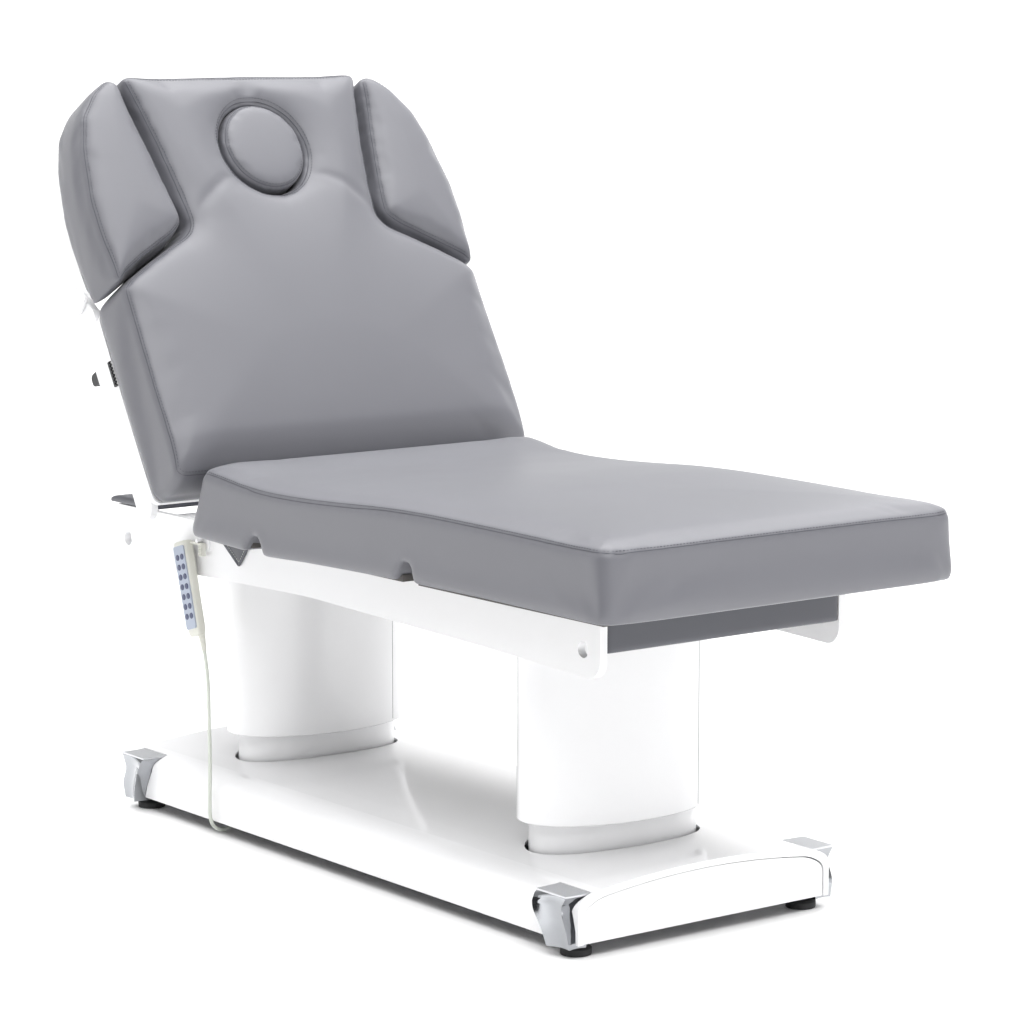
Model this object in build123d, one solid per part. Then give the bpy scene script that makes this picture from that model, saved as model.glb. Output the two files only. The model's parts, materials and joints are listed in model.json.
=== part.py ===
from build123d import *
import math
import os

# Facial treatment bed on two lifting columns, backrest raised. Millimetres, +Z up,
# +Y towards the head end, -X is the left side seen from the foot end.
# Lengths along the bed are first laid out from the foot edge of the seat cushion (Y = 0);
# the finished model is then moved so that its origin is the bottom centre of its box.

# ---- driving dimensions ----------------------------------------------------
SEAT_WIDTH = 760.0
SEAT_LENGTH = 1225.0
SEAT_UNDERSIDE_Z = 582.0
SEAT_SEAM_HEIGHT = 123.0
SEAT_CROWN = 16.0
SEAT_DIP = 18.0
SEAT_REAR_DROP = 76.0
SEAT_REAR_SLOPE = 62.0
SEAT_PLAN_RADIUS = 42.0
SEAT_BOARD_THICKNESS = 12.0
SEAT_BOARD_INSET = 18.0
NOTCH_WIDTH = 44.0
NOTCH_HEIGHT = 36.0
NOTCH_DEPTH = 46.0
NOTCH_PLACES = (533.0, 986.0)

RAIL_SPACING = 527.0
RAIL_THICKNESS = 15.0
RAIL_FRONT_Y = 157.0
RAIL_LENGTH = 1486.0
RAIL_FRONT_DEPTH = 118.0
RAIL_MID_DEPTH = 93.0
RAIL_REAR_DEPTH = 110.0
RAIL_REAR_RADIUS = 45.0
RAIL_FRONT_RADIUS = 30.0
RAIL_BORE_RADIUS = 13.5
FRONT_BORE_INSET = 43.0
FRONT_BORE_DROP = 72.0
REAR_BORE_INSET = 45.0
REAR_BORE_DROP = 63.0
CROSS_TUBE_DEPTH = 30.0
CROSS_TUBE_WIDTH = 40.0

APRON_THICKNESS = 12.0
APRON_HEIGHT = 76.0
TAIL_PAD_LENGTH = 160.0
TAIL_PAD_THICKNESS = 15.0
TAIL_PAD_OVERHANG = 17.0
FLAP_THICKNESS = 4.0
FLAP_WIDTH = 152.0
FLAP_DROP = 68.0
FLAP_REAR_Y = 1300.0

BASE_WIDTH = 544.0
BASE_LENGTH = 1398.0
BASE_BOTTOM_Z = 25.0
BASE_CREST_Z = 126.0
BASE_SHOULDER_Z = 112.0
BASE_SHOULDER_INSET = 50.0
BASE_SHELL = 4.0
END_PANEL_FLANGE = 11.0
END_PANEL_THICKNESS = 4.0
END_PANEL_RECESS = 2.5
END_PANEL_GAP = 1.8
CHASSIS_THICKNESS = 8.0
CHASSIS_Z = 46.0
COLUMN_PITCH = 902.0

SHROUD_WIDTH = 382.0
SHROUD_DEPTH = 216.0
SHROUD_WALL = 5.0
SHROUD_BOTTOM_Z = 172.0
COLUMN_PLATE_Z = 500.0
COLUMN_PLATE_THICKNESS = 12.0
COLUMN_PLATE_LENGTH = 170.0
COLUMN_GAP = 23.0
COLUMN_END_GAP = 14.0
COLUMN_WALL = 5.0
COLUMN_TOP_Z = 445.0
COVER_OPENING_GAP = 7.0
WIPER_HEIGHT = 10.0
RUNNING_CLEARANCE = 0.5
SCREW_RADIUS = 12.0
NUT_TUBE_WALL = 7.0
NUT_TUBE_LENGTH = 260.0

GUARD_TOP_Z = 104.5
GUARD_SETBACK = 8.0
GUARD_PLATE = 3.0
GUARD_FIT = 1.0
FOOT_RADIUS = 26.0
FOOT_HEIGHT = 15.0
FOOT_STUD_RADIUS = 6.0
FOOT_SIDE = 245.0
FOOT_PITCH = 1317.0

BACK_ANGLE = 60.0
HINGE_BEHIND_SEAT = 38.0
HINGE_Z = 615.0
BACK_FACE = 107.0
BACK_CROWN = 15.0
BACK_WIDTH = 806.0
BACK_CUSHION = 112.0
SHOULDER_OUTER = 408.0
SHOULDER_INNER = 522.0
NECK_WIDTH = 444.0
HEAD_WIDTH = 536.0
BACK_TOP = 846.0
BOARD_THICKNESS = 10.0
BOARD_INSET = 5.0
FACE_HOLE_WIDTH = 188.0
FACE_HOLE_LENGTH = 194.0
FACE_HOLE_PLACE = 685.0
PLUG_GAP = 4.0
WING_GAP = 18.0
WING_OUTER = 830.0
HINGE_TUBE_RADIUS = 14.0
HINGE_LUG_THICKNESS = 12.0
HINGE_LUG_WALL = 4.0
HORN_HUB_WALL = 3.0
HORN_GAP = 2.0
HINGE_GAP = 1.0

ARM_THICKNESS = 14.0
ARM_DEPTH = 51.0
ARM_START = 34.0
ARM_SIDE_STEP = 5.0
WING_PIVOT_ALONG = 454.0
WING_PIVOT_DROP = 43.0
WING_PLATE = 7.0
WING_PLATE_GAP = 1.5
KNOB_RADIUS = 14.0
KNOB_HEIGHT = 10.0
PIN_RADIUS = 6.0
LEVER_PLACE = 318.0
LEVER_REACH = 46.0
LEVER_THICKNESS = 14.0

ACTUATOR_DROP = 70.0
ROD_RADIUS = 10.0
ROD_PIN_RADIUS = 6.0
ROD_LENGTH = 420.0
HOUSING_SIDE = 36.0
HOUSING_LENGTH = 400.0
HOUSING_FRONT_Y = 690.0
HORN_THICKNESS = 8.0
FORK_GAP = 2.0
FORK_THROAT = 31.0
SLOT_PLAY = 2.2

HANDSET_WIDTH = 46.0
HANDSET_THICKNESS = 22.0
HANDSET_LENGTH = 180.0
HANDSET_TILT = 16.0
HANDSET_TOP_Z = 543.0
HANDSET_Y = 1374.0
HANDSET_GAP = 6.0
KEYPAD_THICKNESS = 1.0
HOOK_WIDTH = 14.0
RELIEF_LENGTH = 30.0
CORD_RADIUS = 3.5

# ---- derived places --------------------------------------------------------
SEAT_TOP_Z = SEAT_UNDERSIDE_Z + SEAT_SEAM_HEIGHT
RAIL_OUTER = RAIL_SPACING / 2
RAIL_INNER = RAIL_OUTER - RAIL_THICKNESS
RAIL_REAR_Y = RAIL_FRONT_Y + RAIL_LENGTH
BASE_CENTRE_Y = RAIL_FRONT_Y + RAIL_LENGTH / 2 - 2.0
BASE_FRONT_Y = BASE_CENTRE_Y - BASE_LENGTH / 2
BASE_REAR_Y = BASE_CENTRE_Y + BASE_LENGTH / 2
COLUMN_PLACES = (BASE_CENTRE_Y - COLUMN_PITCH / 2, BASE_CENTRE_Y + COLUMN_PITCH / 2)
COLUMN_WIDTH = SHROUD_WIDTH - 2 * COLUMN_GAP
COLUMN_DEPTH = SHROUD_DEPTH - 2 * COLUMN_END_GAP
CHASSIS_TOP = CHASSIS_Z + CHASSIS_THICKNESS
HINGE_Y = SEAT_LENGTH + HINGE_BEHIND_SEAT
BOARD_TOP = BACK_FACE - BACK_CUSHION
BOARD_BOTTOM = BOARD_TOP - BOARD_THICKNESS
HINGE_LUG_RADIUS = HINGE_TUBE_RADIUS + HINGE_LUG_WALL
BACK_START = HINGE_TUBE_RADIUS + HORN_HUB_WALL + HORN_GAP
ARM_BOTTOM = BOARD_BOTTOM - ARM_DEPTH
ARM_OUTER = BACK_WIDTH / 2 - ARM_SIDE_STEP
WING_PIVOT_Z = BOARD_BOTTOM - WING_PIVOT_DROP
SIDES = {"left": -1, "right": 1}

nodes = {}


def arc_outline(points, radii):
    """Face in XY from a closed polygon whose corners are rounded by the given radii."""
    count = len(points)
    edges = []
    entries = []
    exits = []
    for i, (corner, radius) in enumerate(zip(points, radii)):
        here = Vector(*corner)
        back = (Vector(*points[i - 1]) - here).normalized()
        ahead = (Vector(*points[(i + 1) % count]) - here).normalized()
        if radius <= 0:
            entries.append(here)
            exits.append(here)
            continue
        half = math.radians(back.get_angle(ahead)) / 2
        reach = radius / math.tan(half)
        first = here + back * reach
        last = here + ahead * reach
        bisector = (back + ahead).normalized()
        middle = here + bisector * (radius / math.sin(half) - radius)
        entries.append(first)
        exits.append(last)
        edges.append(ThreePointArc(first, middle, last).edge())
    for i in range(count):
        start, end = exits[i], entries[(i + 1) % count]
        if (end - start).length > 1e-4:
            edges.append(Edge.make_line(start, end))
    return Face(Wire(edges))


def side_profile(points, radii, x_low, x_high):
    """Solid from a (Y, Z) outline, extruded along X."""
    face = Plane.YZ * arc_outline(points, radii)
    return Pos(x_low, 0, 0) * extrude(face, x_high - x_low, dir=(1, 0, 0))


def block(x0, x1, y0, y1, z0, z1):
    """Box between two corners."""
    return Pos((x0 + x1) / 2, (y0 + y1) / 2, (z0 + z1) / 2) * Box(x1 - x0, y1 - y0, z1 - z0)


def rod_x(x0, x1, y, z, radius):
    """Round bar along X."""
    return Pos((x0 + x1) / 2, y, z) * Rot(0, 90, 0) * Cylinder(radius, abs(x1 - x0))


def oval(width, depth, y, z0, z1):
    """Oval prism standing on Z, centred on the bed's middle line."""
    return extrude(Pos(0, y, z0) * Ellipse(width / 2, depth / 2), z1 - z0)


def oval_tube(width, depth, wall, y, z0, z1):
    """Oval tube standing on Z, open at both ends."""
    ring = Ellipse(width / 2, depth / 2) - Ellipse(width / 2 - wall, depth / 2 - wall)
    return extrude(Pos(0, y, z0) * ring, z1 - z0)


def mirrored(solid):
    """The same piece on the other side of the bed."""
    return mirror(solid, Plane.YZ)


def on_back(solid):
    """From the backrest's own axes (hinge at the origin, lying flat) to its raised place."""
    return Pos(0, HINGE_Y, HINGE_Z) * Rot(BACK_ANGLE, 0, 0) * solid


def back_point(along, up):
    """(Y, Z) in the bed of a point given in the backrest's own axes."""
    turn = math.radians(BACK_ANGLE)
    y = HINGE_Y + along * math.cos(turn) - up * math.sin(turn)
    z = HINGE_Z + along * math.sin(turn) + up * math.cos(turn)
    return y, z


# ---- base ------------------------------------------------------------------
def base_outline(inset, lift):
    """Cambered end outline of the base in XZ, drawn in XY, shrunk by inset."""
    half = BASE_WIDTH / 2 - inset
    shoulder = half - BASE_SHOULDER_INSET
    bottom = BASE_BOTTOM_Z + lift
    top = BASE_SHOULDER_Z - inset
    crest = BASE_CREST_Z - inset
    corner = 34.0
    left = [
        Edge.make_line((-half, bottom), (-half, top - corner)),
        Spline((-half, top - corner), (-half + 14, top - 12), (-shoulder, top),
               tangents=[(0, 1), (3, 0.4)]).edge(),
    ]
    crown = ThreePointArc((-shoulder, top), (0, crest), (shoulder, top)).edge()
    right = [
        Spline((shoulder, top), (half - 14, top - 12), (half, top - corner),
               tangents=[(3, -0.4), (0, -1)]).edge(),
        Edge.make_line((half, top - corner), (half, bottom)),
    ]
    floor = Edge.make_line((half, bottom), (-half, bottom))
    return Face(Wire(left + [crown] + right + [floor]))


def base_prism(inset, lift, y0, y1):
    """The base outline extruded along Y."""
    face = Plane(origin=(0, y0, 0), x_dir=(1, 0, 0), z_dir=(0, -1, 0)) * base_outline(inset, lift)
    return extrude(face, y1 - y0, dir=(0, 1, 0))


def guard_corner(grow=0.0):
    """Corner guard on the left side at the foot end: swells out, then draws in towards the foot."""
    side = -BASE_WIDTH / 2
    front = BASE_FRONT_Y + GUARD_SETBACK
    # each row: height, (outward, along) of the front edge, the rear edge, then the inner depth
    rows = [(FOOT_HEIGHT + 3.0, (12, 0), (22, 48), 22),
            (48.0, (18, 1), (26, 58), 26),
            (80.0, (18, 16), (31, 76), 30),
            (GUARD_TOP_Z + grow, (18, 1), (19, 78), 32)]
    sections = []
    for z, (out_a, y_a), (out_b, y_b), depth in rows:
        corners = [(side - out_a - grow, front + y_a - grow), (side - out_b - grow, front + y_b + grow),
                   (side + depth + grow, front + y_b + 4 + grow), (side + depth + grow, front - grow)]
        sections.append(Pos(0, 0, z) * Face(Wire.make_polygon([Vector(*c) for c in corners])))
    return loft(sections, ruled=True), corners


def over_guard(corners, height):
    """Slab of the given height that lies on the guard's top outline."""
    outline = Face(Wire.make_polygon([Vector(*c) for c in corners]))
    return extrude(Pos(0, 0, GUARD_TOP_Z) * outline, height, dir=(0, 0, 1))


def four_corners(solid):
    """A foot-left piece repeated at the four corners of the base."""
    middle = Plane(origin=(0, BASE_CENTRE_Y, 0), x_dir=(1, 0, 0), z_dir=(0, 1, 0))
    rear = mirror(solid, middle)
    return [solid, mirrored(solid), rear, mirrored(rear)]


def make_base():
    cover = base_prism(0, 0, BASE_FRONT_Y, BASE_REAR_Y)
    cover -= base_prism(BASE_SHELL, -10, BASE_FRONT_Y + 12, BASE_REAR_Y - 12)
    cover -= base_prism(END_PANEL_FLANGE, -10, BASE_FRONT_Y - 1, BASE_REAR_Y + 1)
    for y in COLUMN_PLACES:
        cover -= oval(COLUMN_WIDTH + 2 * COVER_OPENING_GAP, COLUMN_DEPTH + 2 * COVER_OPENING_GAP,
                      y, BASE_BOTTOM_Z + 30, BASE_CREST_Z + 20)
    guard, top = guard_corner()
    guard -= Pos(-FOOT_SIDE, BASE_CENTRE_Y - FOOT_PITCH / 2, 0) * Cylinder(
        FOOT_STUD_RADIUS + 2, 200, align=(Align.CENTER, Align.CENTER, Align.MIN))
    grown, pocket = guard_corner(GUARD_FIT)
    grown += over_guard(pocket, 4 * GUARD_PLATE)
    panels = {}
    panel_gap = END_PANEL_FLANGE + END_PANEL_GAP
    y = BASE_FRONT_Y + END_PANEL_RECESS
    panels["foot"] = base_prism(panel_gap, 0, y, y + END_PANEL_THICKNESS)
    y = BASE_REAR_Y - END_PANEL_RECESS
    panels["head"] = base_prism(panel_gap, 0, y - END_PANEL_THICKNESS, y)
    for piece in four_corners(grown):
        cover -= piece
        panels = {name: panel - piece for name, panel in panels.items()}
    nodes["base_cover"] = cover
    inlet_place = (120.0, BASE_REAR_Y - END_PANEL_RECESS, 66.0)
    inlet_cut = Pos(*inlet_place) * Box(28.6, 60, 21.0)
    panels["head"] -= inlet_cut
    for name, panel in panels.items():
        nodes["base_end_panel_" + name] = panel
    inlet = Pos(*inlet_place) * Pos(0, -12, 0) * Box(28, 26, 20.4)
    inlet += Pos(*inlet_place) * Pos(0, 1.5, 0) * Box(34, 3, 26)
    inlet -= Pos(*inlet_place) * Pos(0, -2, 0) * Box(24, 20, 16)
    for x in (-7.0, 0.0, 7.0):
        drop = -2.5 if x else 2.5
        inlet += Pos(*inlet_place) * Pos(x, -6, drop) * Box(2, 12, 4)
    nodes["mains_inlet"] = inlet

    nodes["corner_guards"] = Compound(children=[p.solid() for p in four_corners(guard)])
    plate = over_guard(top, GUARD_PLATE)
    nodes["guard_top_plates"] = Compound(children=[p.solid() for p in four_corners(plate)])

    foot_y = BASE_CENTRE_Y - FOOT_PITCH / 2
    pad = Pos(-FOOT_SIDE, foot_y, 0) * Cylinder(
        FOOT_RADIUS, FOOT_HEIGHT, align=(Align.CENTER, Align.CENTER, Align.MIN))
    pad = chamfer(pad.edges().group_by(Axis.Z)[-1], 4)
    pad = fillet(pad.edges().group_by(Axis.Z)[0], 2)
    stud = Pos(-FOOT_SIDE, foot_y, FOOT_HEIGHT) * Cylinder(
        FOOT_STUD_RADIUS, CHASSIS_Z - FOOT_HEIGHT, align=(Align.CENTER, Align.CENTER, Align.MIN))
    nodes["levelling_pads"] = Compound(children=[p.solid() for p in four_corners(pad)])
    nodes["levelling_studs"] = Compound(children=[p.solid() for p in four_corners(stud)])

    half = BASE_WIDTH / 2 - 22
    chassis = block(-half, half, BASE_FRONT_Y + 26, BASE_REAR_Y - 26, CHASSIS_Z, CHASSIS_TOP)
    for piece in four_corners(grown):
        chassis -= piece
    for y in (BASE_CENTRE_Y - FOOT_PITCH / 2, BASE_CENTRE_Y + FOOT_PITCH / 2):
        chassis += block(-half + 14, half - 14, y - 20, y + 20, CHASSIS_Z, CHASSIS_TOP)
    nodes["base_chassis"] = chassis

    screws = []
    columns = []
    for y in COLUMN_PLACES:
        column = oval_tube(COLUMN_WIDTH, COLUMN_DEPTH, COLUMN_WALL, y, CHASSIS_TOP, COLUMN_TOP_Z)
        columns.append(column.solid())
        screw = Pos(0, y, CHASSIS_TOP) * Cylinder(
            SCREW_RADIUS, COLUMN_TOP_Z - 20 - CHASSIS_TOP,
            align=(Align.CENTER, Align.CENTER, Align.MIN))
        motor = block(-45, 45, y - 35, y + 35, CHASSIS_TOP, CHASSIS_TOP + 60)
        screws.append((screw + motor).solid())
    nodes["inner_columns"] = Compound(children=columns)
    nodes["lift_motor_screws"] = Compound(children=screws)
    box_y = BASE_CENTRE_Y + 40
    nodes["control_box"] = block(-110, 60, box_y - 55, box_y + 55, CHASSIS_TOP, CHASSIS_TOP + 48)


# ---- lifting frame ---------------------------------------------------------
def rail_outline():
    """Side outline of a rail, deeper at both ends than in the middle."""
    top = SEAT_UNDERSIDE_Z
    y0, y1 = RAIL_FRONT_Y, RAIL_REAR_Y
    points = [(y0, top), (y1, top), (y1, top - RAIL_REAR_DEPTH),
              (y1 - 0.20 * RAIL_LENGTH, top - RAIL_REAR_DEPTH + 8),
              (y0 + 0.56 * RAIL_LENGTH, top - RAIL_MID_DEPTH),
              (y0 + 0.20 * RAIL_LENGTH, top - RAIL_MID_DEPTH - 14),
              (y0, top - RAIL_FRONT_DEPTH)]
    radii = [5, 8, RAIL_REAR_RADIUS, 900, 1600, 2500, RAIL_FRONT_RADIUS]
    return points, radii


def make_rails():
    points, radii = rail_outline()
    rail = side_profile(points, radii, -RAIL_OUTER, -RAIL_INNER)
    bores = [(RAIL_FRONT_Y + FRONT_BORE_INSET, SEAT_UNDERSIDE_Z - FRONT_BORE_DROP),
             (RAIL_REAR_Y - REAR_BORE_INSET, SEAT_UNDERSIDE_Z - REAR_BORE_DROP)]
    for y, z in bores:
        rail -= rod_x(-RAIL_OUTER - 5, -RAIL_INNER + 5, y, z, RAIL_BORE_RADIUS)
    nodes["side_rail_left"] = rail
    nodes["side_rail_right"] = mirrored(rail)

    lugs = []
    for side in SIDES.values():
        inner = side * (RAIL_INNER - HINGE_LUG_THICKNESS)
        x0, x1 = sorted((inner, side * RAIL_INNER))
        foot_z = COLUMN_PLATE_Z + COLUMN_PLATE_THICKNESS
        lug = block(x0, x1, HINGE_Y - HINGE_LUG_RADIUS, HINGE_Y + HINGE_LUG_RADIUS + 30,
                    foot_z, HINGE_Z + BOARD_BOTTOM - 4)
        lug += block(x0, x1, HINGE_Y - HINGE_LUG_RADIUS, HINGE_Y + HINGE_LUG_RADIUS, foot_z, HINGE_Z)
        lug += rod_x(x0, x1, HINGE_Y, HINGE_Z, HINGE_LUG_RADIUS)
        lug -= rod_x(x0 - 1, x1 + 1, HINGE_Y, HINGE_Z, HINGE_TUBE_RADIUS + 0.05)
        lugs.append(lug.solid())
    nodes["hinge_lugs"] = Compound(children=lugs)

    tubes = []
    low = SEAT_UNDERSIDE_Z - SEAT_BOARD_THICKNESS - CROSS_TUBE_DEPTH
    for y in (RAIL_FRONT_Y + 0.30 * RAIL_LENGTH, HOUSING_FRONT_Y - CROSS_TUBE_WIDTH - 44,
              RAIL_REAR_Y - 170):
        tube = block(-RAIL_INNER, RAIL_INNER, y, y + CROSS_TUBE_WIDTH, low, low + CROSS_TUBE_DEPTH)
        tube -= block(-RAIL_INNER - 1, RAIL_INNER + 1, y + 3, y + CROSS_TUBE_WIDTH - 3,
                      low + 3, low + CROSS_TUBE_DEPTH - 3)
        tubes.append(tube.solid())
    nodes["cross_tubes"] = Compound(children=tubes)


def make_columns():
    rings = []
    nuts = []
    plates = []
    for place, y in zip(("foot", "head"), COLUMN_PLACES):
        cap_z = COLUMN_PLATE_Z - SHROUD_WALL
        shroud = oval_tube(SHROUD_WIDTH, SHROUD_DEPTH, SHROUD_WALL, y, SHROUD_BOTTOM_Z, cap_z)
        shroud += oval(SHROUD_WIDTH, SHROUD_DEPTH, y, cap_z, COLUMN_PLATE_Z)
        nodes["column_shroud_" + place] = shroud
        hole = Ellipse(COLUMN_WIDTH / 2 + RUNNING_CLEARANCE, COLUMN_DEPTH / 2 + RUNNING_CLEARANCE)
        rim = Ellipse(SHROUD_WIDTH / 2 - SHROUD_WALL, SHROUD_DEPTH / 2 - SHROUD_WALL)
        ring = extrude(Pos(0, y, SHROUD_BOTTOM_Z + 8) * (rim - hole), WIPER_HEIGHT)
        rings.append(ring.solid())
        plates.append(block(
            -RAIL_INNER, RAIL_INNER, y - COLUMN_PLATE_LENGTH / 2, y + COLUMN_PLATE_LENGTH / 2,
            COLUMN_PLATE_Z, COLUMN_PLATE_Z + COLUMN_PLATE_THICKNESS))
        top = COLUMN_PLATE_Z - SHROUD_WALL
        nut = Pos(0, y, top) * Cylinder(
            SCREW_RADIUS + NUT_TUBE_WALL, NUT_TUBE_LENGTH,
            align=(Align.CENTER, Align.CENTER, Align.MAX))
        nut -= Pos(0, y, top - 8) * Cylinder(
            SCREW_RADIUS + RUNNING_CLEARANCE, NUT_TUBE_LENGTH,
            align=(Align.CENTER, Align.CENTER, Align.MAX))
        nuts.append(nut.solid())
    nodes["column_plates"] = Compound(children=plates)
    nodes["column_wipers"] = Compound(children=rings)
    nodes["lift_nut_tubes"] = Compound(children=nuts)


def make_seat():
    half = SEAT_WIDTH / 2
    low, top = SEAT_UNDERSIDE_Z, SEAT_TOP_Z + SEAT_CROWN
    rear = SEAT_LENGTH
    points = [(0, low), (0, top - 4), (0.35 * rear, top + 2), (0.78 * rear, top - SEAT_DIP),
              (rear - SEAT_REAR_SLOPE, top),
              (rear - 0.5 * SEAT_REAR_SLOPE, top - 0.45 * SEAT_REAR_DROP),
              (rear, top - SEAT_REAR_DROP), (rear, low)]
    cushion = side_profile(points, [22, 34, 700, 700, 30, 60, 16, 16], -half, half)
    plan = Pos(0, rear / 2, low - 10) * RectangleRounded(2 * half, rear, SEAT_PLAN_RADIUS)
    cushion &= extrude(plan, top - low + 40)
    board = block(-half + SEAT_BOARD_INSET, half - SEAT_BOARD_INSET, SEAT_BOARD_INSET + 8,
                  rear - SEAT_BOARD_INSET - 8, low, low + SEAT_BOARD_THICKNESS)
    for y in NOTCH_PLACES:
        for side in SIDES.values():
            notch = block(-NOTCH_DEPTH, NOTCH_DEPTH, y - NOTCH_WIDTH / 2, y + NOTCH_WIDTH / 2,
                          low - 1, low + NOTCH_HEIGHT - NOTCH_WIDTH / 2)
            notch += rod_x(-NOTCH_DEPTH, NOTCH_DEPTH, y, low + NOTCH_HEIGHT - NOTCH_WIDTH / 2,
                           NOTCH_WIDTH / 2)
            cushion -= Pos(side * half, 0, 0) * notch
            board -= Pos(side * half, 0, 0) * notch
    nodes["seat_board"] = board
    nodes["seat_cushion"] = cushion - board
    apron_rear = RAIL_FRONT_Y + APRON_THICKNESS
    nodes["foot_apron"] = block(-RAIL_INNER, RAIL_INNER, RAIL_FRONT_Y, apron_rear,
                                low - APRON_HEIGHT, low)

    rear = RAIL_REAR_Y + TAIL_PAD_OVERHANG
    start = rear - TAIL_PAD_LENGTH
    pad_points = [(start, low), (start, low + TAIL_PAD_THICKNESS), (rear - 60, low + TAIL_PAD_THICKNESS),
                  (rear, low + TAIL_PAD_THICKNESS - 4), (rear, low)]
    nodes["tail_pad"] = side_profile(pad_points, [0, 3, 200, 5, 4], -RAIL_OUTER - 3, RAIL_OUTER + 3)

    flap = [(FLAP_REAR_Y - FLAP_WIDTH, low), (FLAP_REAR_Y, low),
            (FLAP_REAR_Y - 0.65 * FLAP_WIDTH, low - FLAP_DROP)]
    nodes["corner_flap"] = side_profile(flap, [0, 0, 3], -RAIL_OUTER - FLAP_THICKNESS, -RAIL_OUTER)


def make_actuator():
    z = HINGE_Z - ACTUATOR_DROP
    swing = ACTUATOR_DROP * math.tan(math.radians(BACK_ANGLE / 2))
    pin_y = HINGE_Y + swing
    half = HOUSING_SIDE / 2
    rear = HOUSING_FRONT_Y + HOUSING_LENGTH
    fit = ROD_RADIUS + RUNNING_CLEARANCE
    housing = block(-half, half, HOUSING_FRONT_Y, rear, z - half, z + half)
    bore = Pos(0, rear + 1, z) * Rot(90, 0, 0) * Cylinder(
        fit, HOUSING_LENGTH - 20, align=(Align.CENTER, Align.CENTER, Align.MIN))
    nodes["actuator_housing"] = housing - bore
    nodes["actuator_motor"] = block(-38, 38, HOUSING_FRONT_Y - 44, HOUSING_FRONT_Y,
                                    z - 48, z + half)
    fork_base = pin_y - FORK_THROAT - 10
    start = fork_base - ROD_LENGTH
    rod = Pos(0, start, z) * Rot(-90, 0, 0) * Cylinder(
        ROD_RADIUS, ROD_LENGTH, align=(Align.CENTER, Align.CENTER, Align.MIN))
    cheek = HORN_THICKNESS / 2 + FORK_GAP
    fork = block(-cheek - 6, cheek + 6, fork_base, pin_y + 9, z - 9, z + 9)
    fork -= block(-cheek, cheek, pin_y - FORK_THROAT, pin_y + 12, z - 12, z + 12)
    fork -= rod_x(-30, 30, pin_y, z, ROD_PIN_RADIUS)
    nodes["actuator_rod"] = rod + fork
    nodes["actuator_pin"] = rod_x(-cheek - 9, cheek + 9, pin_y, z, ROD_PIN_RADIUS)


def handset_place(solid):
    """From the handset's own axes (top edge at the origin, face towards -X) to the rail."""
    return Pos(-RAIL_OUTER - HANDSET_GAP, HANDSET_Y, HANDSET_TOP_Z) * Rot(-HANDSET_TILT, 0, 0) * solid


def make_handset():
    half = HANDSET_WIDTH / 2
    body = block(-HANDSET_THICKNESS, 0, -half, half, -HANDSET_LENGTH, 0)
    body = fillet(body.edges().filter_by(Axis.Z), 5)
    waist = Pos(0, 0, -HANDSET_LENGTH * 0.52) * Rot(90, 0, 0) * Cylinder(60, 80)
    body -= Pos(56, 0, 0) * waist
    pad_half = half - 5
    keypad = block(-HANDSET_THICKNESS - KEYPAD_THICKNESS, -HANDSET_THICKNESS, -pad_half, pad_half,
                   -HANDSET_LENGTH + 10, -7)
    nodes["handset_body"] = handset_place(body)
    nodes["handset_keypad"] = handset_place(keypad)

    tail = math.radians(HANDSET_TILT)
    drop = HANDSET_LENGTH
    relief_x = -RAIL_OUTER - HANDSET_GAP - HANDSET_THICKNESS / 2
    end_y = HANDSET_Y - drop * math.sin(tail) - 14 * math.cos(tail)
    end_z = HANDSET_TOP_Z - drop * math.cos(tail) + 14 * math.sin(tail)
    relief = Pos(-HANDSET_THICKNESS / 2, -14, -drop) * Cone(
        CORD_RADIUS + 0.6, 6.5, RELIEF_LENGTH, align=(Align.CENTER, Align.CENTER, Align.MAX))
    nodes["handset_strain_relief"] = handset_place(relief)
    relief_y = end_y - RELIEF_LENGTH * math.sin(tail)
    relief_z = end_z - RELIEF_LENGTH * math.cos(tail)

    hook_y = HANDSET_Y - half
    hook_z = HANDSET_TOP_Z
    hook = block(-RAIL_OUTER - 4, -RAIL_OUTER, hook_y - 46, hook_y - 46 + HOOK_WIDTH + 22,
                 hook_z - 12, hook_z + 14)
    hook += rod_x(-RAIL_OUTER - 17, -RAIL_OUTER - 4, hook_y - 25, hook_z + 6, 4)
    nodes["handset_hook"] = hook
    tongue = block(-RAIL_OUTER - 16, -RAIL_OUTER - 6, hook_y - 40, hook_y - 29.5, hook_z - 22, hook_z + 2)
    tongue += block(-RAIL_OUTER - 16, -RAIL_OUTER - 6, hook_y - 40, hook_y - 1, hook_z - 2, hook_z + 2)
    for rib in range(4):
        tongue -= block(-RAIL_OUTER - 17, -RAIL_OUTER - 14.5, hook_y - 41, hook_y - 29,
                        hook_z - 19 + 4.6 * rib, hook_z - 17 + 4.6 * rib)
    nodes["handset_clip"] = tongue
    return relief_x, relief_y, relief_z


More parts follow.
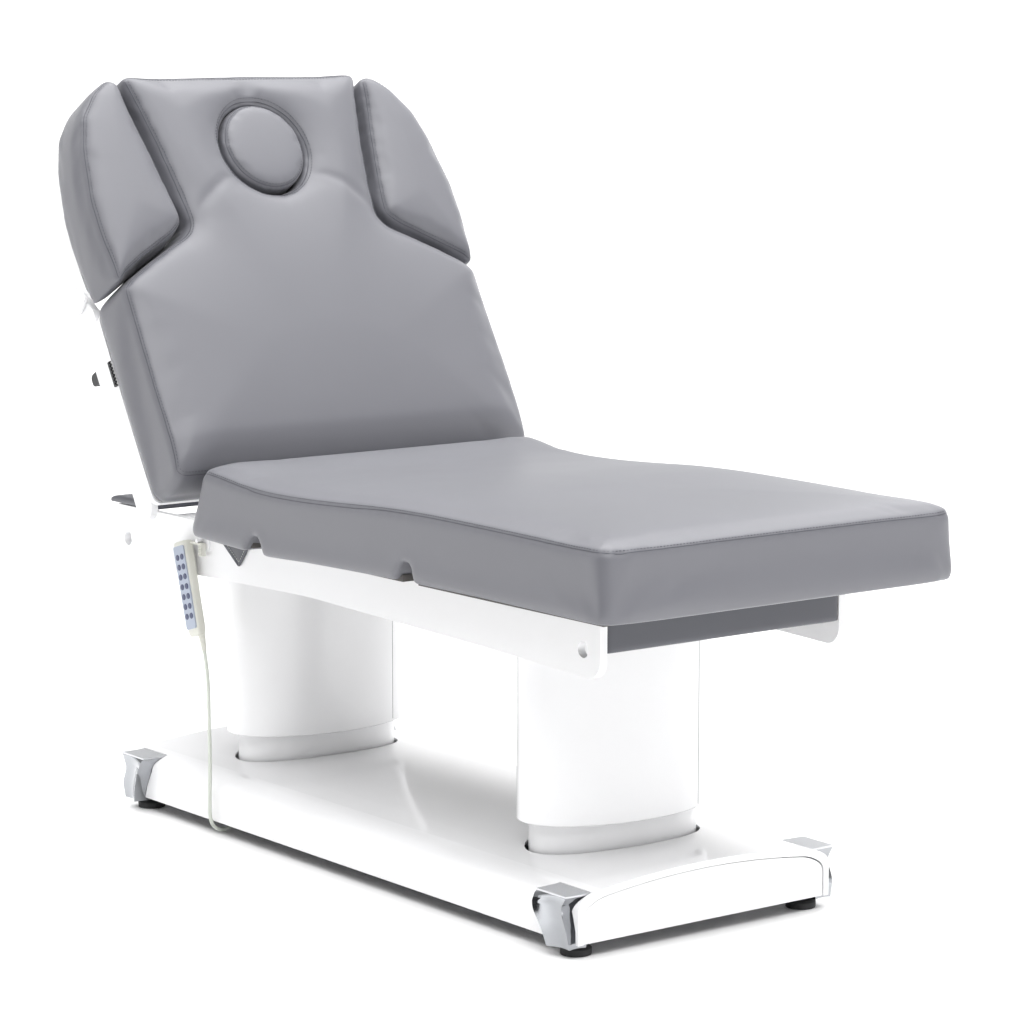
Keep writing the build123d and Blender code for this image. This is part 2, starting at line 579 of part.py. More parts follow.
def make_cord(relief_x, relief_y, relief_z):
    """Handset lead: hangs straight, turns in under the base and up into its gland."""
    fall_x = relief_x - 2
    inlet_x = fall_x + 60
    under = 7.0
    tail = math.radians(HANDSET_TILT)
    y = relief_y - 14
    gland_z = CHASSIS_Z - 2
    route = [
        (relief_x, relief_y, relief_z),
        (relief_x, relief_y - 45 * math.sin(tail), relief_z - 45 * math.cos(tail)),
        (fall_x, y - 2, relief_z - 129),
        (fall_x, y - 4, relief_z - 206),
        (fall_x, y - 1, relief_z - 268),
        (fall_x, y, under + 19),
        (fall_x + 17, y, under),
        (inlet_x - 17, y - 0.5, under),
        (inlet_x, y - 1, under + 17),
        (inlet_x, y - 1, gland_z),
    ]
    radii = []
    print("cord corners (turn deg, radius mm, radius in diameters):")
    for before, here, after in zip(route, route[1:], route[2:]):
        first = Vector(*here) - Vector(*before)
        second = Vector(*after) - Vector(*here)
        turn = math.radians(first.get_angle(second))
        radius = 0.45 * min(first.length, second.length) / math.tan(turn / 2)
        radii.append(radius)
        print(f"  {math.degrees(turn):5.1f} {radius:7.1f} {radius / (2 * CORD_RADIUS):6.1f}")
    path = FilletPolyline(*route, radius=radii)
    start = Plane(origin=route[0], z_dir=Vector(*route[1]) - Vector(*route[0]))
    tube = sweep(start * Circle(CORD_RADIUS), path=path)
    length = path.length
    print(f"cord length {length:.1f} mm, volume ratio "
          f"{tube.volume / (length * math.pi * CORD_RADIUS ** 2):.4f}")
    print("cord route in bed layout:", [tuple(round(v, 2) for v in p) for p in route])
    nodes["handset_cord"] = tube
    end = route[-1]
    gland = Pos(end[0], end[1], end[2]) * Cylinder(
        9, CHASSIS_Z - end[2], align=(Align.CENTER, Align.CENTER, Align.MIN))
    nodes["cord_gland"] = gland


# ---- backrest --------------------------------------------------------------
def back_outline(shrink):
    """Main back cushion outline: wide lower part, sloping shoulders, flared head panel."""
    half = BACK_WIDTH / 2 - shrink
    neck = NECK_WIDTH / 2 - shrink
    head = HEAD_WIDTH / 2 - shrink
    start = BACK_START + shrink
    top = BACK_TOP - shrink
    right = [(half, start), (half, SHOULDER_OUTER - shrink), (neck, SHOULDER_INNER - shrink),
             (neck + 2, SHOULDER_INNER + 34), (head, top)]
    radii = [14, 34, 12, 120, 30]
    left = [(-x, y) for x, y in reversed(right)]
    return arc_outline(right + left, radii + radii[::-1])


def wing_outline(shrink):
    """Side cushion beside the head panel, on the right-hand side."""
    gap = WING_GAP + shrink
    neck = NECK_WIDTH / 2 + gap
    head = HEAD_WIDTH / 2 + gap - 4
    outer = WING_OUTER / 2 - shrink
    points = [(neck, SHOULDER_INNER - 2 + shrink), (outer - 6, SHOULDER_OUTER + 6 + shrink),
              (outer, 560), (outer - 22, BACK_TOP - 136), (head + 46, BACK_TOP - 22 - shrink),
              (head, BACK_TOP - 10 - shrink), (neck + 4, SHOULDER_INNER + 60)]
    return arc_outline(points, [12, 24, 220, 130, 26, 8, 120])


def face_hole(grow, low, high):
    """Oval prism through the head panel."""
    shape = Ellipse(FACE_HOLE_WIDTH / 2 + grow, FACE_HOLE_LENGTH / 2 + grow)
    return extrude(Pos(0, FACE_HOLE_PLACE, low) * shape, high - low)


def make_back():
    front = BACK_FACE + BACK_CROWN
    cushion = extrude(Pos(0, 0, BOARD_TOP) * back_outline(0), front - BOARD_TOP)
    heel = side_profile([(BACK_START - 5, 60), (BACK_START, 60), (BACK_START + 37, front + 3),
                         (BACK_START - 5, front + 3)], [0, 0, 0, 0], -BACK_WIDTH, BACK_WIDTH)
    cushion -= heel
    cushion -= face_hole(0, BOARD_TOP - 5, front + 5)
    nodes["back_cushion"] = on_back(cushion)
    board = extrude(Pos(0, 0, BOARD_BOTTOM) * back_outline(BOARD_INSET), BOARD_THICKNESS)
    board -= face_hole(0, BOARD_BOTTOM - 5, BOARD_TOP + 5)
    nodes["back_board"] = on_back(board)
    plug = face_hole(-PLUG_GAP, BOARD_TOP + 10, front)
    nodes["face_plug"] = on_back(plug)


def make_hinge():
    """Tube that the backrest turns on, with the plates that carry the board."""
    reach = RAIL_INNER
    tube = rod_x(-reach, reach, 0, 0, HINGE_TUBE_RADIUS)
    tube -= rod_x(-reach - 1, reach + 1, 0, 0, HINGE_TUBE_RADIUS - 3)
    plate_x = RAIL_INNER - HINGE_LUG_THICKNESS - HINGE_GAP
    for side in SIDES.values():
        x0, x1 = sorted((side * plate_x, side * (plate_x - 8)))
        plate = side_profile([(-8, BOARD_BOTTOM - 30), (110, BOARD_BOTTOM - 26), (118, BOARD_BOTTOM),
                              (20, BOARD_BOTTOM), (12, 6), (-8, 6)], [14, 6, 0, 0, 6, 6], x0, x1)
        tube += plate - rod_x(x0 - 1, x1 + 1, 0, 0, HINGE_TUBE_RADIUS - 1)
    nodes["back_hinge_tube"] = on_back(tube)

    # the horn stands square to the rod half way through the backrest's travel
    horn_turn = BACK_ANGLE / 2
    far = ACTUATOR_DROP / math.cos(math.radians(horn_turn))
    slot = ROD_PIN_RADIUS + SLOT_PLAY
    half = HORN_THICKNESS / 2
    horn = block(-half, half, -17, 17, -far - slot - 3, 0)
    horn += rod_x(-half, half, 0, 0, HINGE_TUBE_RADIUS + HORN_HUB_WALL)
    horn -= rod_x(-half - 1, half + 1, 0, 0, HINGE_TUBE_RADIUS)
    horn -= block(-half - 1, half + 1, -slot, slot, -far - slot - 10, -ACTUATOR_DROP + slot)
    nodes["actuator_horn"] = Pos(0, HINGE_Y, HINGE_Z) * Rot(horn_turn, 0, 0) * horn


def make_arms():
    caps = []
    racks = []
    brackets = []
    for name, side in SIDES.items():
        inner = ARM_OUTER - ARM_THICKNESS
        middle = (BOARD_BOTTOM + ARM_BOTTOM) / 2
        body = side_profile([(ARM_START, BOARD_BOTTOM), (ARM_START, ARM_BOTTOM),
                             (WING_PIVOT_ALONG - 34, ARM_BOTTOM), (WING_PIVOT_ALONG - 34, BOARD_BOTTOM)],
                            [0, 0, 0, 0], inner, ARM_OUTER)
        body += rod_x(inner, ARM_OUTER, ARM_START, middle, ARM_DEPTH / 2)
        body += rod_x(inner, ARM_OUTER, WING_PIVOT_ALONG, WING_PIVOT_Z, 24)
        body += side_profile([(WING_PIVOT_ALONG - 36, BOARD_BOTTOM), (WING_PIVOT_ALONG - 36, ARM_BOTTOM),
                              (WING_PIVOT_ALONG - 6, WING_PIVOT_Z - 23),
                              (WING_PIVOT_ALONG + 4, WING_PIVOT_Z + 23)],
                             [0, 0, 0, 0], inner, ARM_OUTER)
        body -= rod_x(inner - 1, ARM_OUTER + 1, WING_PIVOT_ALONG, WING_PIVOT_Z, PIN_RADIUS + 0.05)
        arm = body
        cap = rod_x(ARM_OUTER, ARM_OUTER + KNOB_HEIGHT, ARM_START, middle, KNOB_RADIUS)
        cap = fillet(cap.edges().group_by(Axis.X)[-1], 6)
        bump = rod_x(ARM_OUTER, ARM_OUTER + 5, 348, BOARD_BOTTOM - 16, 9)
        bolt = rod_x(ARM_OUTER, ARM_OUTER + 2.5, 56, BOARD_BOTTOM - 10, 4)
        pieces = [cap, bump, bolt]
        if side < 0:
            arm = mirrored(arm)
            pieces = [mirrored(piece) for piece in pieces]
        nodes["back_arm_" + name] = on_back(arm)
        caps += [on_back(piece).solid() for piece in pieces]

        lever_x = ARM_OUTER - ARM_THICKNESS - 1 - LEVER_THICKNESS
        lever = side_profile([(LEVER_PLACE - 11, ARM_BOTTOM + 26), (LEVER_PLACE - 14, ARM_BOTTOM - LEVER_REACH),
                              (LEVER_PLACE + 10, ARM_BOTTOM - LEVER_REACH), (LEVER_PLACE + 11, ARM_BOTTOM + 26)],
                             [10, 9, 9, 10], lever_x, lever_x + LEVER_THICKNESS)
        rack = block(ARM_OUTER, ARM_OUTER + 4, 262, 311, BOARD_BOTTOM + 1, BOARD_TOP - 1)
        for tooth in range(7):
            rack -= block(ARM_OUTER - 1, ARM_OUTER + 5, 264.5 + 7 * tooth, 268 + 7 * tooth,
                          BOARD_TOP - 5, BOARD_TOP + 1)
        bracket = block(lever_x - 5, lever_x, LEVER_PLACE - 16, LEVER_PLACE + 16,
                        ARM_BOTTOM + 4, BOARD_BOTTOM)
        bracket += rod_x(lever_x, lever_x + 14, LEVER_PLACE, ARM_BOTTOM + 14, 4)
        lever -= rod_x(lever_x - 1, lever_x + 20, LEVER_PLACE, ARM_BOTTOM + 14, 4.05)
        if side < 0:
            lever, rack, bracket = mirrored(lever), mirrored(rack), mirrored(bracket)
        nodes["release_lever_" + name] = on_back(lever)
        brackets.append(on_back(bracket).solid())
        racks.append(on_back(rack).solid())
    nodes["arm_caps"] = Compound(children=caps)
    nodes["arm_racks"] = Compound(children=racks)
    nodes["lever_brackets"] = Compound(children=brackets)


def make_wings():
    front = BACK_FACE + BACK_CROWN
    for name, side in SIDES.items():
        cushion = extrude(Pos(0, 0, BOARD_TOP) * wing_outline(0), front - BOARD_TOP)
        board = extrude(Pos(0, 0, BOARD_BOTTOM) * wing_outline(BOARD_INSET), BOARD_THICKNESS)
        inner = ARM_OUTER + WING_PLATE_GAP
        outer = inner + WING_PLATE
        edge = WING_OUTER / 2
        y, z = WING_PIVOT_ALONG, WING_PIVOT_Z
        plate = side_profile([(y - 2, z - 26), (y + 24, z - 20), (y + 66, BOARD_BOTTOM),
                              (y - 10, BOARD_BOTTOM), (y - 25, z + 4)],
                             [22, 20, 4, 4, 20], inner, outer)
        flange = block(inner - 30, outer, y - 2, y + 60, BOARD_BOTTOM - 4, BOARD_BOTTOM)
        plate += flange
        plate -= rod_x(inner - 1, outer + 1, y, z, PIN_RADIUS)
        pin = rod_x(ARM_OUTER - ARM_THICKNESS - 3, outer + 1, y, z, PIN_RADIUS)
        knob = rod_x(outer, outer + KNOB_HEIGHT, y, z, KNOB_RADIUS)
        knob = fillet(knob.edges().group_by(Axis.X)[-1], 6)
        hub = rod_x(outer, outer + 2.5, y + 20, z + 20, 5)
        pin = pin + knob
        plate += hub
        if side < 0:
            cushion, board, plate, pin = [mirrored(p) for p in (cushion, board, plate, pin)]
        nodes["wing_cushion_" + name] = on_back(cushion)
        nodes["wing_board_" + name] = on_back(board)
        nodes["wing_plate_" + name] = on_back(plate)
        nodes["wing_pivot_" + name] = on_back(pin)


# ---- build, centre and write -----------------------------------------------
CORD_NODES = ("handset_cord",)


def build():
    """Makes every piece and moves the model to its origin; returns the move."""
    make_base()
    make_rails()
    make_columns()
    make_seat()
    make_actuator()
    relief = make_handset()
    make_cord(*relief)
    make_back()
    make_hinge()
    make_arms()
    make_wings()
    boxes = [piece.bounding_box() for name, piece in nodes.items() if name not in CORD_NODES]
    low = min(box.min.Y for box in boxes)
    high = max(box.max.Y for box in boxes)
    left = min(box.min.X for box in boxes)
    right = max(box.max.X for box in boxes)
    shift = (-(left + right) / 2, -(low + high) / 2, 0.0)
    for name in nodes:
        nodes[name] = Pos(*shift) * nodes[name]
    print("shift to origin (mm):", tuple(round(v, 3) for v in shift))
    print("box (mm):", round(right - left, 1), round(high - low, 1),
          round(max(box.max.Z for box in boxes), 1))
    return shift


SHIFT = build()
os.makedirs("parts", exist_ok=True)
for node, piece in nodes.items():
    export_step(piece, f"parts/{node}.step")
print(len(nodes), "nodes written")
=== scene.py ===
import json
import logging
import math
from dataclasses import dataclass, field
from enum import Enum
from typing import Callable, Sequence, Union

import bmesh
import bpy
import numpy as np
from mathutils import Matrix, Vector
from mathutils.bvhtree import BVHTree
from mathutils.kdtree import KDTree


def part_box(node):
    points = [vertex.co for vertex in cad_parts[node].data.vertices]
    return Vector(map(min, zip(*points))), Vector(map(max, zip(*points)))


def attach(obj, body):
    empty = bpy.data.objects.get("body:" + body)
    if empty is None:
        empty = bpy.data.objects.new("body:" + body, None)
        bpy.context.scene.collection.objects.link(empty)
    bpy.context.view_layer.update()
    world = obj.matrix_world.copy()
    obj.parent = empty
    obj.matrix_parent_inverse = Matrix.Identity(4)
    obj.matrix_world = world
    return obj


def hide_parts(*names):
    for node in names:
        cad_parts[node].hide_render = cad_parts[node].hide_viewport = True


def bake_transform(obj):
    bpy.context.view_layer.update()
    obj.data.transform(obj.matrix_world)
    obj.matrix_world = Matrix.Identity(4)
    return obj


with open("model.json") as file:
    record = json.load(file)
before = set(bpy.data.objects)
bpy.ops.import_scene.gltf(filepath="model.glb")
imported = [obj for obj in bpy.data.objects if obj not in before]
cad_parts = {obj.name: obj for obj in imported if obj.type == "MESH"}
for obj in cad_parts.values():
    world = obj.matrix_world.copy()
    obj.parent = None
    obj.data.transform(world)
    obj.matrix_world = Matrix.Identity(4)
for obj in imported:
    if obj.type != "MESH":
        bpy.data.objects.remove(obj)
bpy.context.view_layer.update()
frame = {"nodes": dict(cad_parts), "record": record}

LOG = logging.getLogger("treatment_bed")
Point2 = tuple[float, float]
Point3 = tuple[float, float, float]

# Lengths along the bed are laid out from the foot edge of the seat cushion, then shifted.
SHIFT_Y = -0.848245
HINGE = (1.263 + SHIFT_Y, 0.615)
BACK_TILT = math.radians(60.0)
RAIL_OUTER = 0.2635


class Side(Enum):
    """Left is -X and right is +X, seen from the foot end."""

    LEFT = -1
    RIGHT = 1


# ---- shader arithmetic -----------------------------------------------------
class Wire:
    """A shader number that takes part in Python arithmetic."""

    def __init__(self, graph: "Graph", socket: bpy.types.NodeSocket) -> None:
        """Args: graph, the material's graph; socket, the output that carries the number."""
        self.graph = graph
        self.socket = socket

    def _math(self, operation: str, first: "Number", second: "Number") -> "Wire":
        """One Math node.

        Args:
            operation: the Math node's operation.
            first: left side.
            second: right side.
        Returns:
            The result.
        """
        made = self.graph.node("ShaderNodeMath", {"operation": operation}, {0: first, 1: second})
        return Wire(self.graph, made.outputs[0])

    def __add__(self, other: "Number") -> "Wire":
        """self + other."""
        return self._math("ADD", self, other)

    def __radd__(self, other: "Number") -> "Wire":
        """other + self."""
        return self._math("ADD", other, self)

    def __mul__(self, other: "Number") -> "Wire":
        """self * other."""
        return self._math("MULTIPLY", self, other)

    def __rmul__(self, other: "Number") -> "Wire":
        """other * self."""
        return self._math("MULTIPLY", other, self)


Number = Union[Wire, float]


class Graph:
    """One procedural material's nodes."""

    def __init__(self, name: str) -> None:
        """Args: name, the material's name."""
        self.material = bpy.data.materials.new(name)
        self.material.use_nodes = True
        self.tree = self.material.node_tree
        self.tree.nodes.clear()
        self.output = self.tree.nodes.new("ShaderNodeOutputMaterial")
        self.shader = self.tree.nodes.new("ShaderNodeBsdfPrincipled")
        self.tree.links.new(self.shader.outputs[0], self.output.inputs["Surface"])

    def node(self, kind: str, settings: dict, inputs: dict) -> bpy.types.Node:
        """Adds a node.

        Args:
            kind: the node's type.
            settings: attributes set first.
            inputs: socket name or index to a value, a Wire or an output socket.
        Returns:
            The node.
        """
        made = self.tree.nodes.new(kind)
        for key, value in settings.items():
            setattr(made, key, value)
        for key, value in inputs.items():
            self.feed(made.inputs[key], value)
        return made

    def feed(self, socket: bpy.types.NodeSocket, value: object) -> None:
        """Args: socket, the input; value, a constant, a Wire or an output socket."""
        if isinstance(value, Wire):
            self.tree.links.new(value.socket, socket)
        elif isinstance(value, bpy.types.NodeSocket):
            self.tree.links.new(value, socket)
        else:
            socket.default_value = value

    def place(self, scale: Point3 = (1.0, 1.0, 1.0)) -> bpy.types.NodeSocket:
        """Args: scale, stretch along each axis. Returns: the piece's own coordinates."""
        own = self.node("ShaderNodeTexCoord", {}, {})
        if scale == (1.0, 1.0, 1.0):
            return own.outputs["Object"]
        spread = self.node("ShaderNodeVectorMath", {"operation": "MULTIPLY"},
                           {0: own.outputs["Object"], 1: scale})
        return spread.outputs[0]

    def noise(self, scale: float, detail: float, where: bpy.types.NodeSocket) -> Wire:
        """Args: scale, detail and where of a noise. Returns: its value, 0 to 1."""
        made = self.node("ShaderNodeTexNoise", {},
                         {"Vector": where, "Scale": scale, "Detail": detail})
        return Wire(self, made.outputs[0])

    def cells(self, scale: float, where: bpy.types.NodeSocket) -> Wire:
        """Args: scale and where of a cell pattern. Returns: distance to the cell's middle."""
        made = self.node("ShaderNodeTexVoronoi", {"feature": "SMOOTH_F1"},
                         {"Vector": where, "Scale": scale, "Smoothness": 0.35})
        return Wire(self, made.outputs["Distance"])

    def blend(self, amount: Number, first: tuple, second: tuple) -> bpy.types.NodeSocket:
        """Args: amount, 0 to 1; first and second colours. Returns: the mixed colour."""
        made = self.node("ShaderNodeMix", {"data_type": "RGBA"},
                         {0: amount, 6: (*first, 1.0), 7: (*second, 1.0)})
        return made.outputs[2]

    def bump(self, height: Wire, strength: float, depth: float) -> None:
        """Args: height pattern, strength 0 to 1 and depth in metres of the relief."""
        made = self.node("ShaderNodeBump", {}, {"Height": height, "Strength": strength,
                                                "Distance": depth})
        self.feed(self.shader.inputs["Normal"], made.outputs[0])

    def set(self, **values: object) -> None:
        """Args: values, shader sockets by name with _ for a space."""
        for key, value in values.items():
            self.feed(self.shader.inputs[key.replace("_", " ")], value)


# ---- finishes --------------------------------------------------------------
def shade(colour: Point3, factor: float) -> Point3:
    """Args: colour; factor. Returns: the colour made lighter or darker."""
    return tuple(min(1.0, c * factor) for c in colour)


@dataclass(frozen=True)
class Leatherette:
    """Coated upholstery cloth with a fine pebbled grain."""

    name: str
    colour: Point3
    roughness: float = 0.44

    def material(self) -> bpy.types.Material:
        """Returns: the grained, satin material."""
        g = Graph(self.name)
        where = g.place()
        pebble = g.cells(950.0, where)
        crease = g.noise(260.0, 4.0, where)
        cloud = g.noise(5.5, 3.0, where)
        g.set(Base_Color=g.blend(cloud * 0.7 + pebble * 0.25, shade(self.colour, 0.94),
                                 shade(self.colour, 1.06)),
              Roughness=self.roughness - 0.05 + 0.1 * cloud + 0.06 * pebble,
              Sheen_Weight=0.08, Coat_Weight=0.12, Coat_Roughness=0.38)
        g.bump(pebble * 0.7 + crease * 0.5, 0.30, 0.0004)
        return g.material


@dataclass(frozen=True)
class GlossPaint:
    """Powder coat or moulded gloss shell."""

    name: str
    colour: Point3
    roughness: float = 0.16
    ripple: float = 0.10

    def material(self) -> bpy.types.Material:
        """Returns: a glossy coat with a faint orange peel."""
        g = Graph(self.name)
        where = g.place()
        peel = g.noise(420.0, 2.0, where)
        dust = g.noise(9.0, 4.0, where)
        g.set(Base_Color=g.blend(dust, shade(self.colour, 0.975), self.colour),
              Roughness=self.roughness + 0.07 * dust,
              Coat_Weight=0.35, Coat_Roughness=0.08)
        g.bump(peel, self.ripple, 0.00018)
        return g.material


@dataclass(frozen=True)
class Metal:
    """Bare metal, polished to brushed; draw is the stretch of its scratches."""

    name: str
    colour: Point3
    roughness: float
    draw: Point3
    relief: float

    def material(self) -> bpy.types.Material:
        """Returns: the metal with fine drawn scratches."""
        g = Graph(self.name)
        scratch = g.noise(60.0, 6.0, g.place(self.draw))
        smear = g.noise(14.0, 3.0, g.place())
        g.set(Base_Color=g.blend(scratch, shade(self.colour, 0.93), shade(self.colour, 1.04)),
              Metallic=1.0, Roughness=self.roughness + self.relief * 0.3 * scratch + 0.05 * smear)
        g.bump(scratch, self.relief, 0.0001)
        return g.material


@dataclass(frozen=True)
class Moulded:
    """Matt or satin plastic or rubber with a spark-eroded texture."""

    name: str
    colour: Point3
    roughness: float = 0.5
    grain: float = 700.0

    def material(self) -> bpy.types.Material:
        """Returns: the moulded material."""
        g = Graph(self.name)
        where = g.place()
        spark = g.noise(self.grain, 3.0, where)
        patch = g.noise(20.0, 2.0, where)
        g.set(Base_Color=g.blend(patch, shade(self.colour, 0.92), shade(self.colour, 1.06)),
              Roughness=self.roughness + 0.08 * spark)
        g.bump(spark, 0.22, 0.0002)
        return g.material


@dataclass(frozen=True)
class Plywood:
    """Sealed birch board under the upholstery."""

    name: str
    colour: Point3

    def material(self) -> bpy.types.Material:
        """Returns: the board with long soft grain."""
        g = Graph(self.name)
        grain = g.noise(16.0, 8.0, g.place((14.0, 1.2, 14.0)))
        g.set(Base_Color=g.blend(grain, shade(self.colour, 0.7), shade(self.colour, 1.2)),
              Roughness=0.55 + 0.1 * grain)
        g.bump(grain, 0.15, 0.0003)
        return g.material


class Finishes:
    """Every finish on the bed, made once."""

    def __init__(self) -> None:
        """Makes the materials."""
        grey = (0.126, 0.127, 0.143)
        self.made = {
            "upholstery": Leatherette("grey_leatherette", grey, 0.40).material(),
            "upholstery_dark": Leatherette("dark_leatherette", (0.060, 0.062, 0.076)).material(),
            "white_steel": GlossPaint("white_powder_coat", (0.84, 0.84, 0.85), 0.26, 0.03).material(),
            "white_cover": GlossPaint("white_gloss_shell", (0.87, 0.87, 0.88), 0.12, 0.05).material(),
            "bright_metal": Metal("polished_guard", (0.40, 0.41, 0.43), 0.07,
                                  (1.0, 1.0, 1.0), 0.03).material(),
            "brushed_metal": Metal("brushed_plate", (0.62, 0.63, 0.65), 0.3,
                                   (1.0, 30.0, 1.0), 0.35).material(),
            "bare_steel": Metal("machined_steel", (0.5, 0.5, 0.52), 0.36,
                                (1.0, 1.0, 20.0), 0.2).material(),
            "black_plastic": Moulded("black_plastic", (0.018, 0.018, 0.02), 0.42).material(),
            "black_rubber": Moulded("black_rubber", (0.022, 0.022, 0.023), 0.68).material(),
            "handset_plastic": Moulded("handset_shell", (0.64, 0.64, 0.58), 0.38).material(),
            "handset_membrane": Moulded("handset_membrane", (0.36, 0.40, 0.49), 0.34).material(),
            "handset_keys": Moulded("handset_keys", (0.055, 0.065, 0.13), 0.36).material(),
            "cord_plastic": Moulded("cord_jacket", (0.60, 0.63, 0.57), 0.45).material(),
            "board": Plywood("plywood", (0.075, 0.070, 0.066)).material(),
            "thread": Moulded("seam_thread", (0.075, 0.077, 0.09), 0.7, 1500.0).material(),
            "shadow_gap": Moulded("joint_line", (0.30, 0.30, 0.31), 0.7).material(),
        }

    def dress(self, obj: bpy.types.Object, finish: str, slot: str = "") -> bpy.types.Object:
        """Puts a finish on a piece.

        Args:
            obj: the piece.
            finish: the finish's name.
            slot: the record's slot, if it isn't the finish's own name; not used.
        Returns:
            The piece.
        """
        obj.data.materials.clear()
        obj.data.materials.append(self.made[finish])
        return obj


# ---- mesh making -----------------------------------------------------------
def mesh_object(name: str, points: Sequence, faces: Sequence, sharp: float = 0.6
                ) -> bpy.types.Object:
    """Makes a smooth-shaded object.

    Args:
        name: its name.
        points: vertex places.
        faces: vertex numbers of each face.
        sharp: angle in radians above which an edge stays crisp.
    Returns:
        The object.
    """
    mesh = bpy.data.meshes.new(name)
    mesh.from_pydata([tuple(p) for p in points], [], [tuple(f) for f in faces])
    shell = bmesh.new()
    shell.from_mesh(mesh)
    bmesh.ops.recalc_face_normals(shell, faces=shell.faces)
    shell.to_mesh(mesh)
    shell.free()
    mesh.shade_smooth()
    mesh.set_sharp_from_angle(angle=sharp)
    obj = bpy.data.objects.new(name, mesh)
    bpy.context.scene.collection.objects.link(obj)
    return obj


def round_corners(points: Sequence[Point2], radii: Sequence[float], steps: int = 7) -> list[Point2]:
    """Rounds a closed outline's corners.

    Args:
        points: corners.
        radii: each corner's radius.
        steps: points along each arc.
    Returns:
        The rounded outline.
    """
    out: list[Point2] = []
    for i, (corner, radius) in enumerate(zip(points, radii)):
        here = Vector(corner)
        back = Vector(points[i - 1]) - here
        ahead = Vector(points[(i + 1) % len(points)]) - here
        half = back.angle(ahead) / 2
        reach = min(radius / math.tan(half), 0.48 * back.length, 0.48 * ahead.length)
        start = here + back.normalized() * reach
        end = here + ahead.normalized() * reach
        for k in range(steps + 1):
            t = k / steps
            spot = start * (1 - t) ** 2 + here * 2 * t * (1 - t) + end * t * t
            out.append((spot.x, spot.y))
    return out


def even_loop(outline: Sequence[Point2], pitch: float) -> list[Point2]:
    """Args: outline, closed; pitch, spacing. Returns: the outline at even spacing."""
    pts = np.array(list(outline) + [outline[0]], float)
    run = np.concatenate([[0.0], np.cumsum(np.linalg.norm(np.diff(pts, axis=0), axis=1))])
    count = max(8, int(round(run[-1] / pitch)))
    at = np.linspace(0, run[-1], count, endpoint=False)
    return list(zip(np.interp(at, run, pts[:, 0]), np.interp(at, run, pts[:, 1])))


def inset(outline: Sequence[Point2], gap: float) -> list[Point2]:
    """Args: outline, closed and evenly spaced; gap inwards. Returns: the smaller outline."""
    pts = np.array(outline, float)
    ahead = np.roll(pts, -1, axis=0) - np.roll(pts, 1, axis=0)
    normal = np.stack([-ahead[:, 1], ahead[:, 0]], axis=1)
    normal /= np.linalg.norm(normal, axis=1)[:, None] + 1e-9
    area = np.sum(pts[:, 0] * np.roll(pts[:, 1], -1) - np.roll(pts[:, 0], -1) * pts[:, 1])
    return [tuple(p) for p in pts + normal * gap * (1 if area > 0 else -1)]


def prism(name: str, outline: Sequence[Point2], low: float, high: float) -> bpy.types.Object:
    """Args: name; outline; low and high Z. Returns: a closed upright solid."""
    n = len(outline)
    points = [(x, y, low) for x, y in outline] + [(x, y, high) for x, y in outline]
    faces = [tuple(range(n))[::-1], tuple(range(n, 2 * n))]
    faces += [(i, (i + 1) % n, n + (i + 1) % n, n + i) for i in range(n)]
    return mesh_object(name, points, faces)


def loft(name: str, loops: Sequence[Sequence[Point3]], sharp: float = 0.6) -> bpy.types.Object:
    """Args: name; loops of equal count; sharp angle. Returns: a closed skin over them."""
    n = len(loops[0])
    points = [p for loop in loops for p in loop]
    faces = [tuple(range(n))[::-1], tuple(range((len(loops) - 1) * n, len(loops) * n))]
    for k in range(len(loops) - 1):
        for i in range(n):
            j = (i + 1) % n
            faces.append((k * n + i, k * n + j, (k + 1) * n + j, (k + 1) * n + i))
    return mesh_object(name, points, faces, sharp)


def tube(name: str, path: Sequence[Point3], radius: float, closed: bool = False,
         sides: int = 8) -> bpy.types.Object:
    """Args: name; path; radius; closed loop or not; sides. Returns: a round tube on the path."""
    pts = np.array(path, float)
    count = len(pts)
    if closed:
        ahead = np.roll(pts, -1, axis=0) - np.roll(pts, 1, axis=0)
    else:
        ahead = np.gradient(pts, axis=0)
    ahead /= np.linalg.norm(ahead, axis=1)[:, None] + 1e-12
    guide = Vector((0.31, 0.17, 0.93))
    rings = []
    side = Vector(ahead[0]).cross(guide).normalized()
    for spot, way in zip(pts, ahead):
        way = Vector(way)
        side = (side - way * side.dot(way)).normalized()
        other = way.cross(side)
        rings.append([tuple(Vector(spot) + side * radius * math.cos(a) + other * radius * math.sin(a))
                      for a in (2 * math.pi * k / sides for k in range(sides))])
    points = [p for ring in rings for p in ring]
    faces = []
    for k in range(count if closed else count - 1):
        m = (k + 1) % count
        faces += [(k * sides + i, k * sides + (i + 1) % sides, m * sides + (i + 1) % sides,
                   m * sides + i) for i in range(sides)]
    if not closed:
        faces += [tuple(range(sides))[::-1], tuple(range((count - 1) * sides, count * sides))]
    return mesh_object(name, points, faces, 1.2)


def join(name: str, parts: Sequence[bpy.types.Object]) -> bpy.types.Object:
    """Args: name; parts. Returns: one object holding all their meshes; the parts go."""
    shell = bmesh.new()
    for part in parts:
        part.data.transform(part.matrix_world)
        shell.from_mesh(part.data)
    mesh = bpy.data.meshes.new(name)
    shell.to_mesh(mesh)
    shell.free()
    for part in parts:
        bpy.data.objects.remove(part, do_unlink=True)
    obj = bpy.data.objects.new(name, mesh)
    bpy.context.scene.collection.objects.link(obj)
    return obj


def settle(obj: bpy.types.Object) -> None:
    """Args: obj, whose modifiers are applied to its mesh."""
    bpy.context.view_layer.update()
    seen = obj.evaluated_get(bpy.context.evaluated_depsgraph_get())
    mesh = bpy.data.meshes.new_from_object(seen)
    obj.modifiers.clear()
    obj.data = mesh


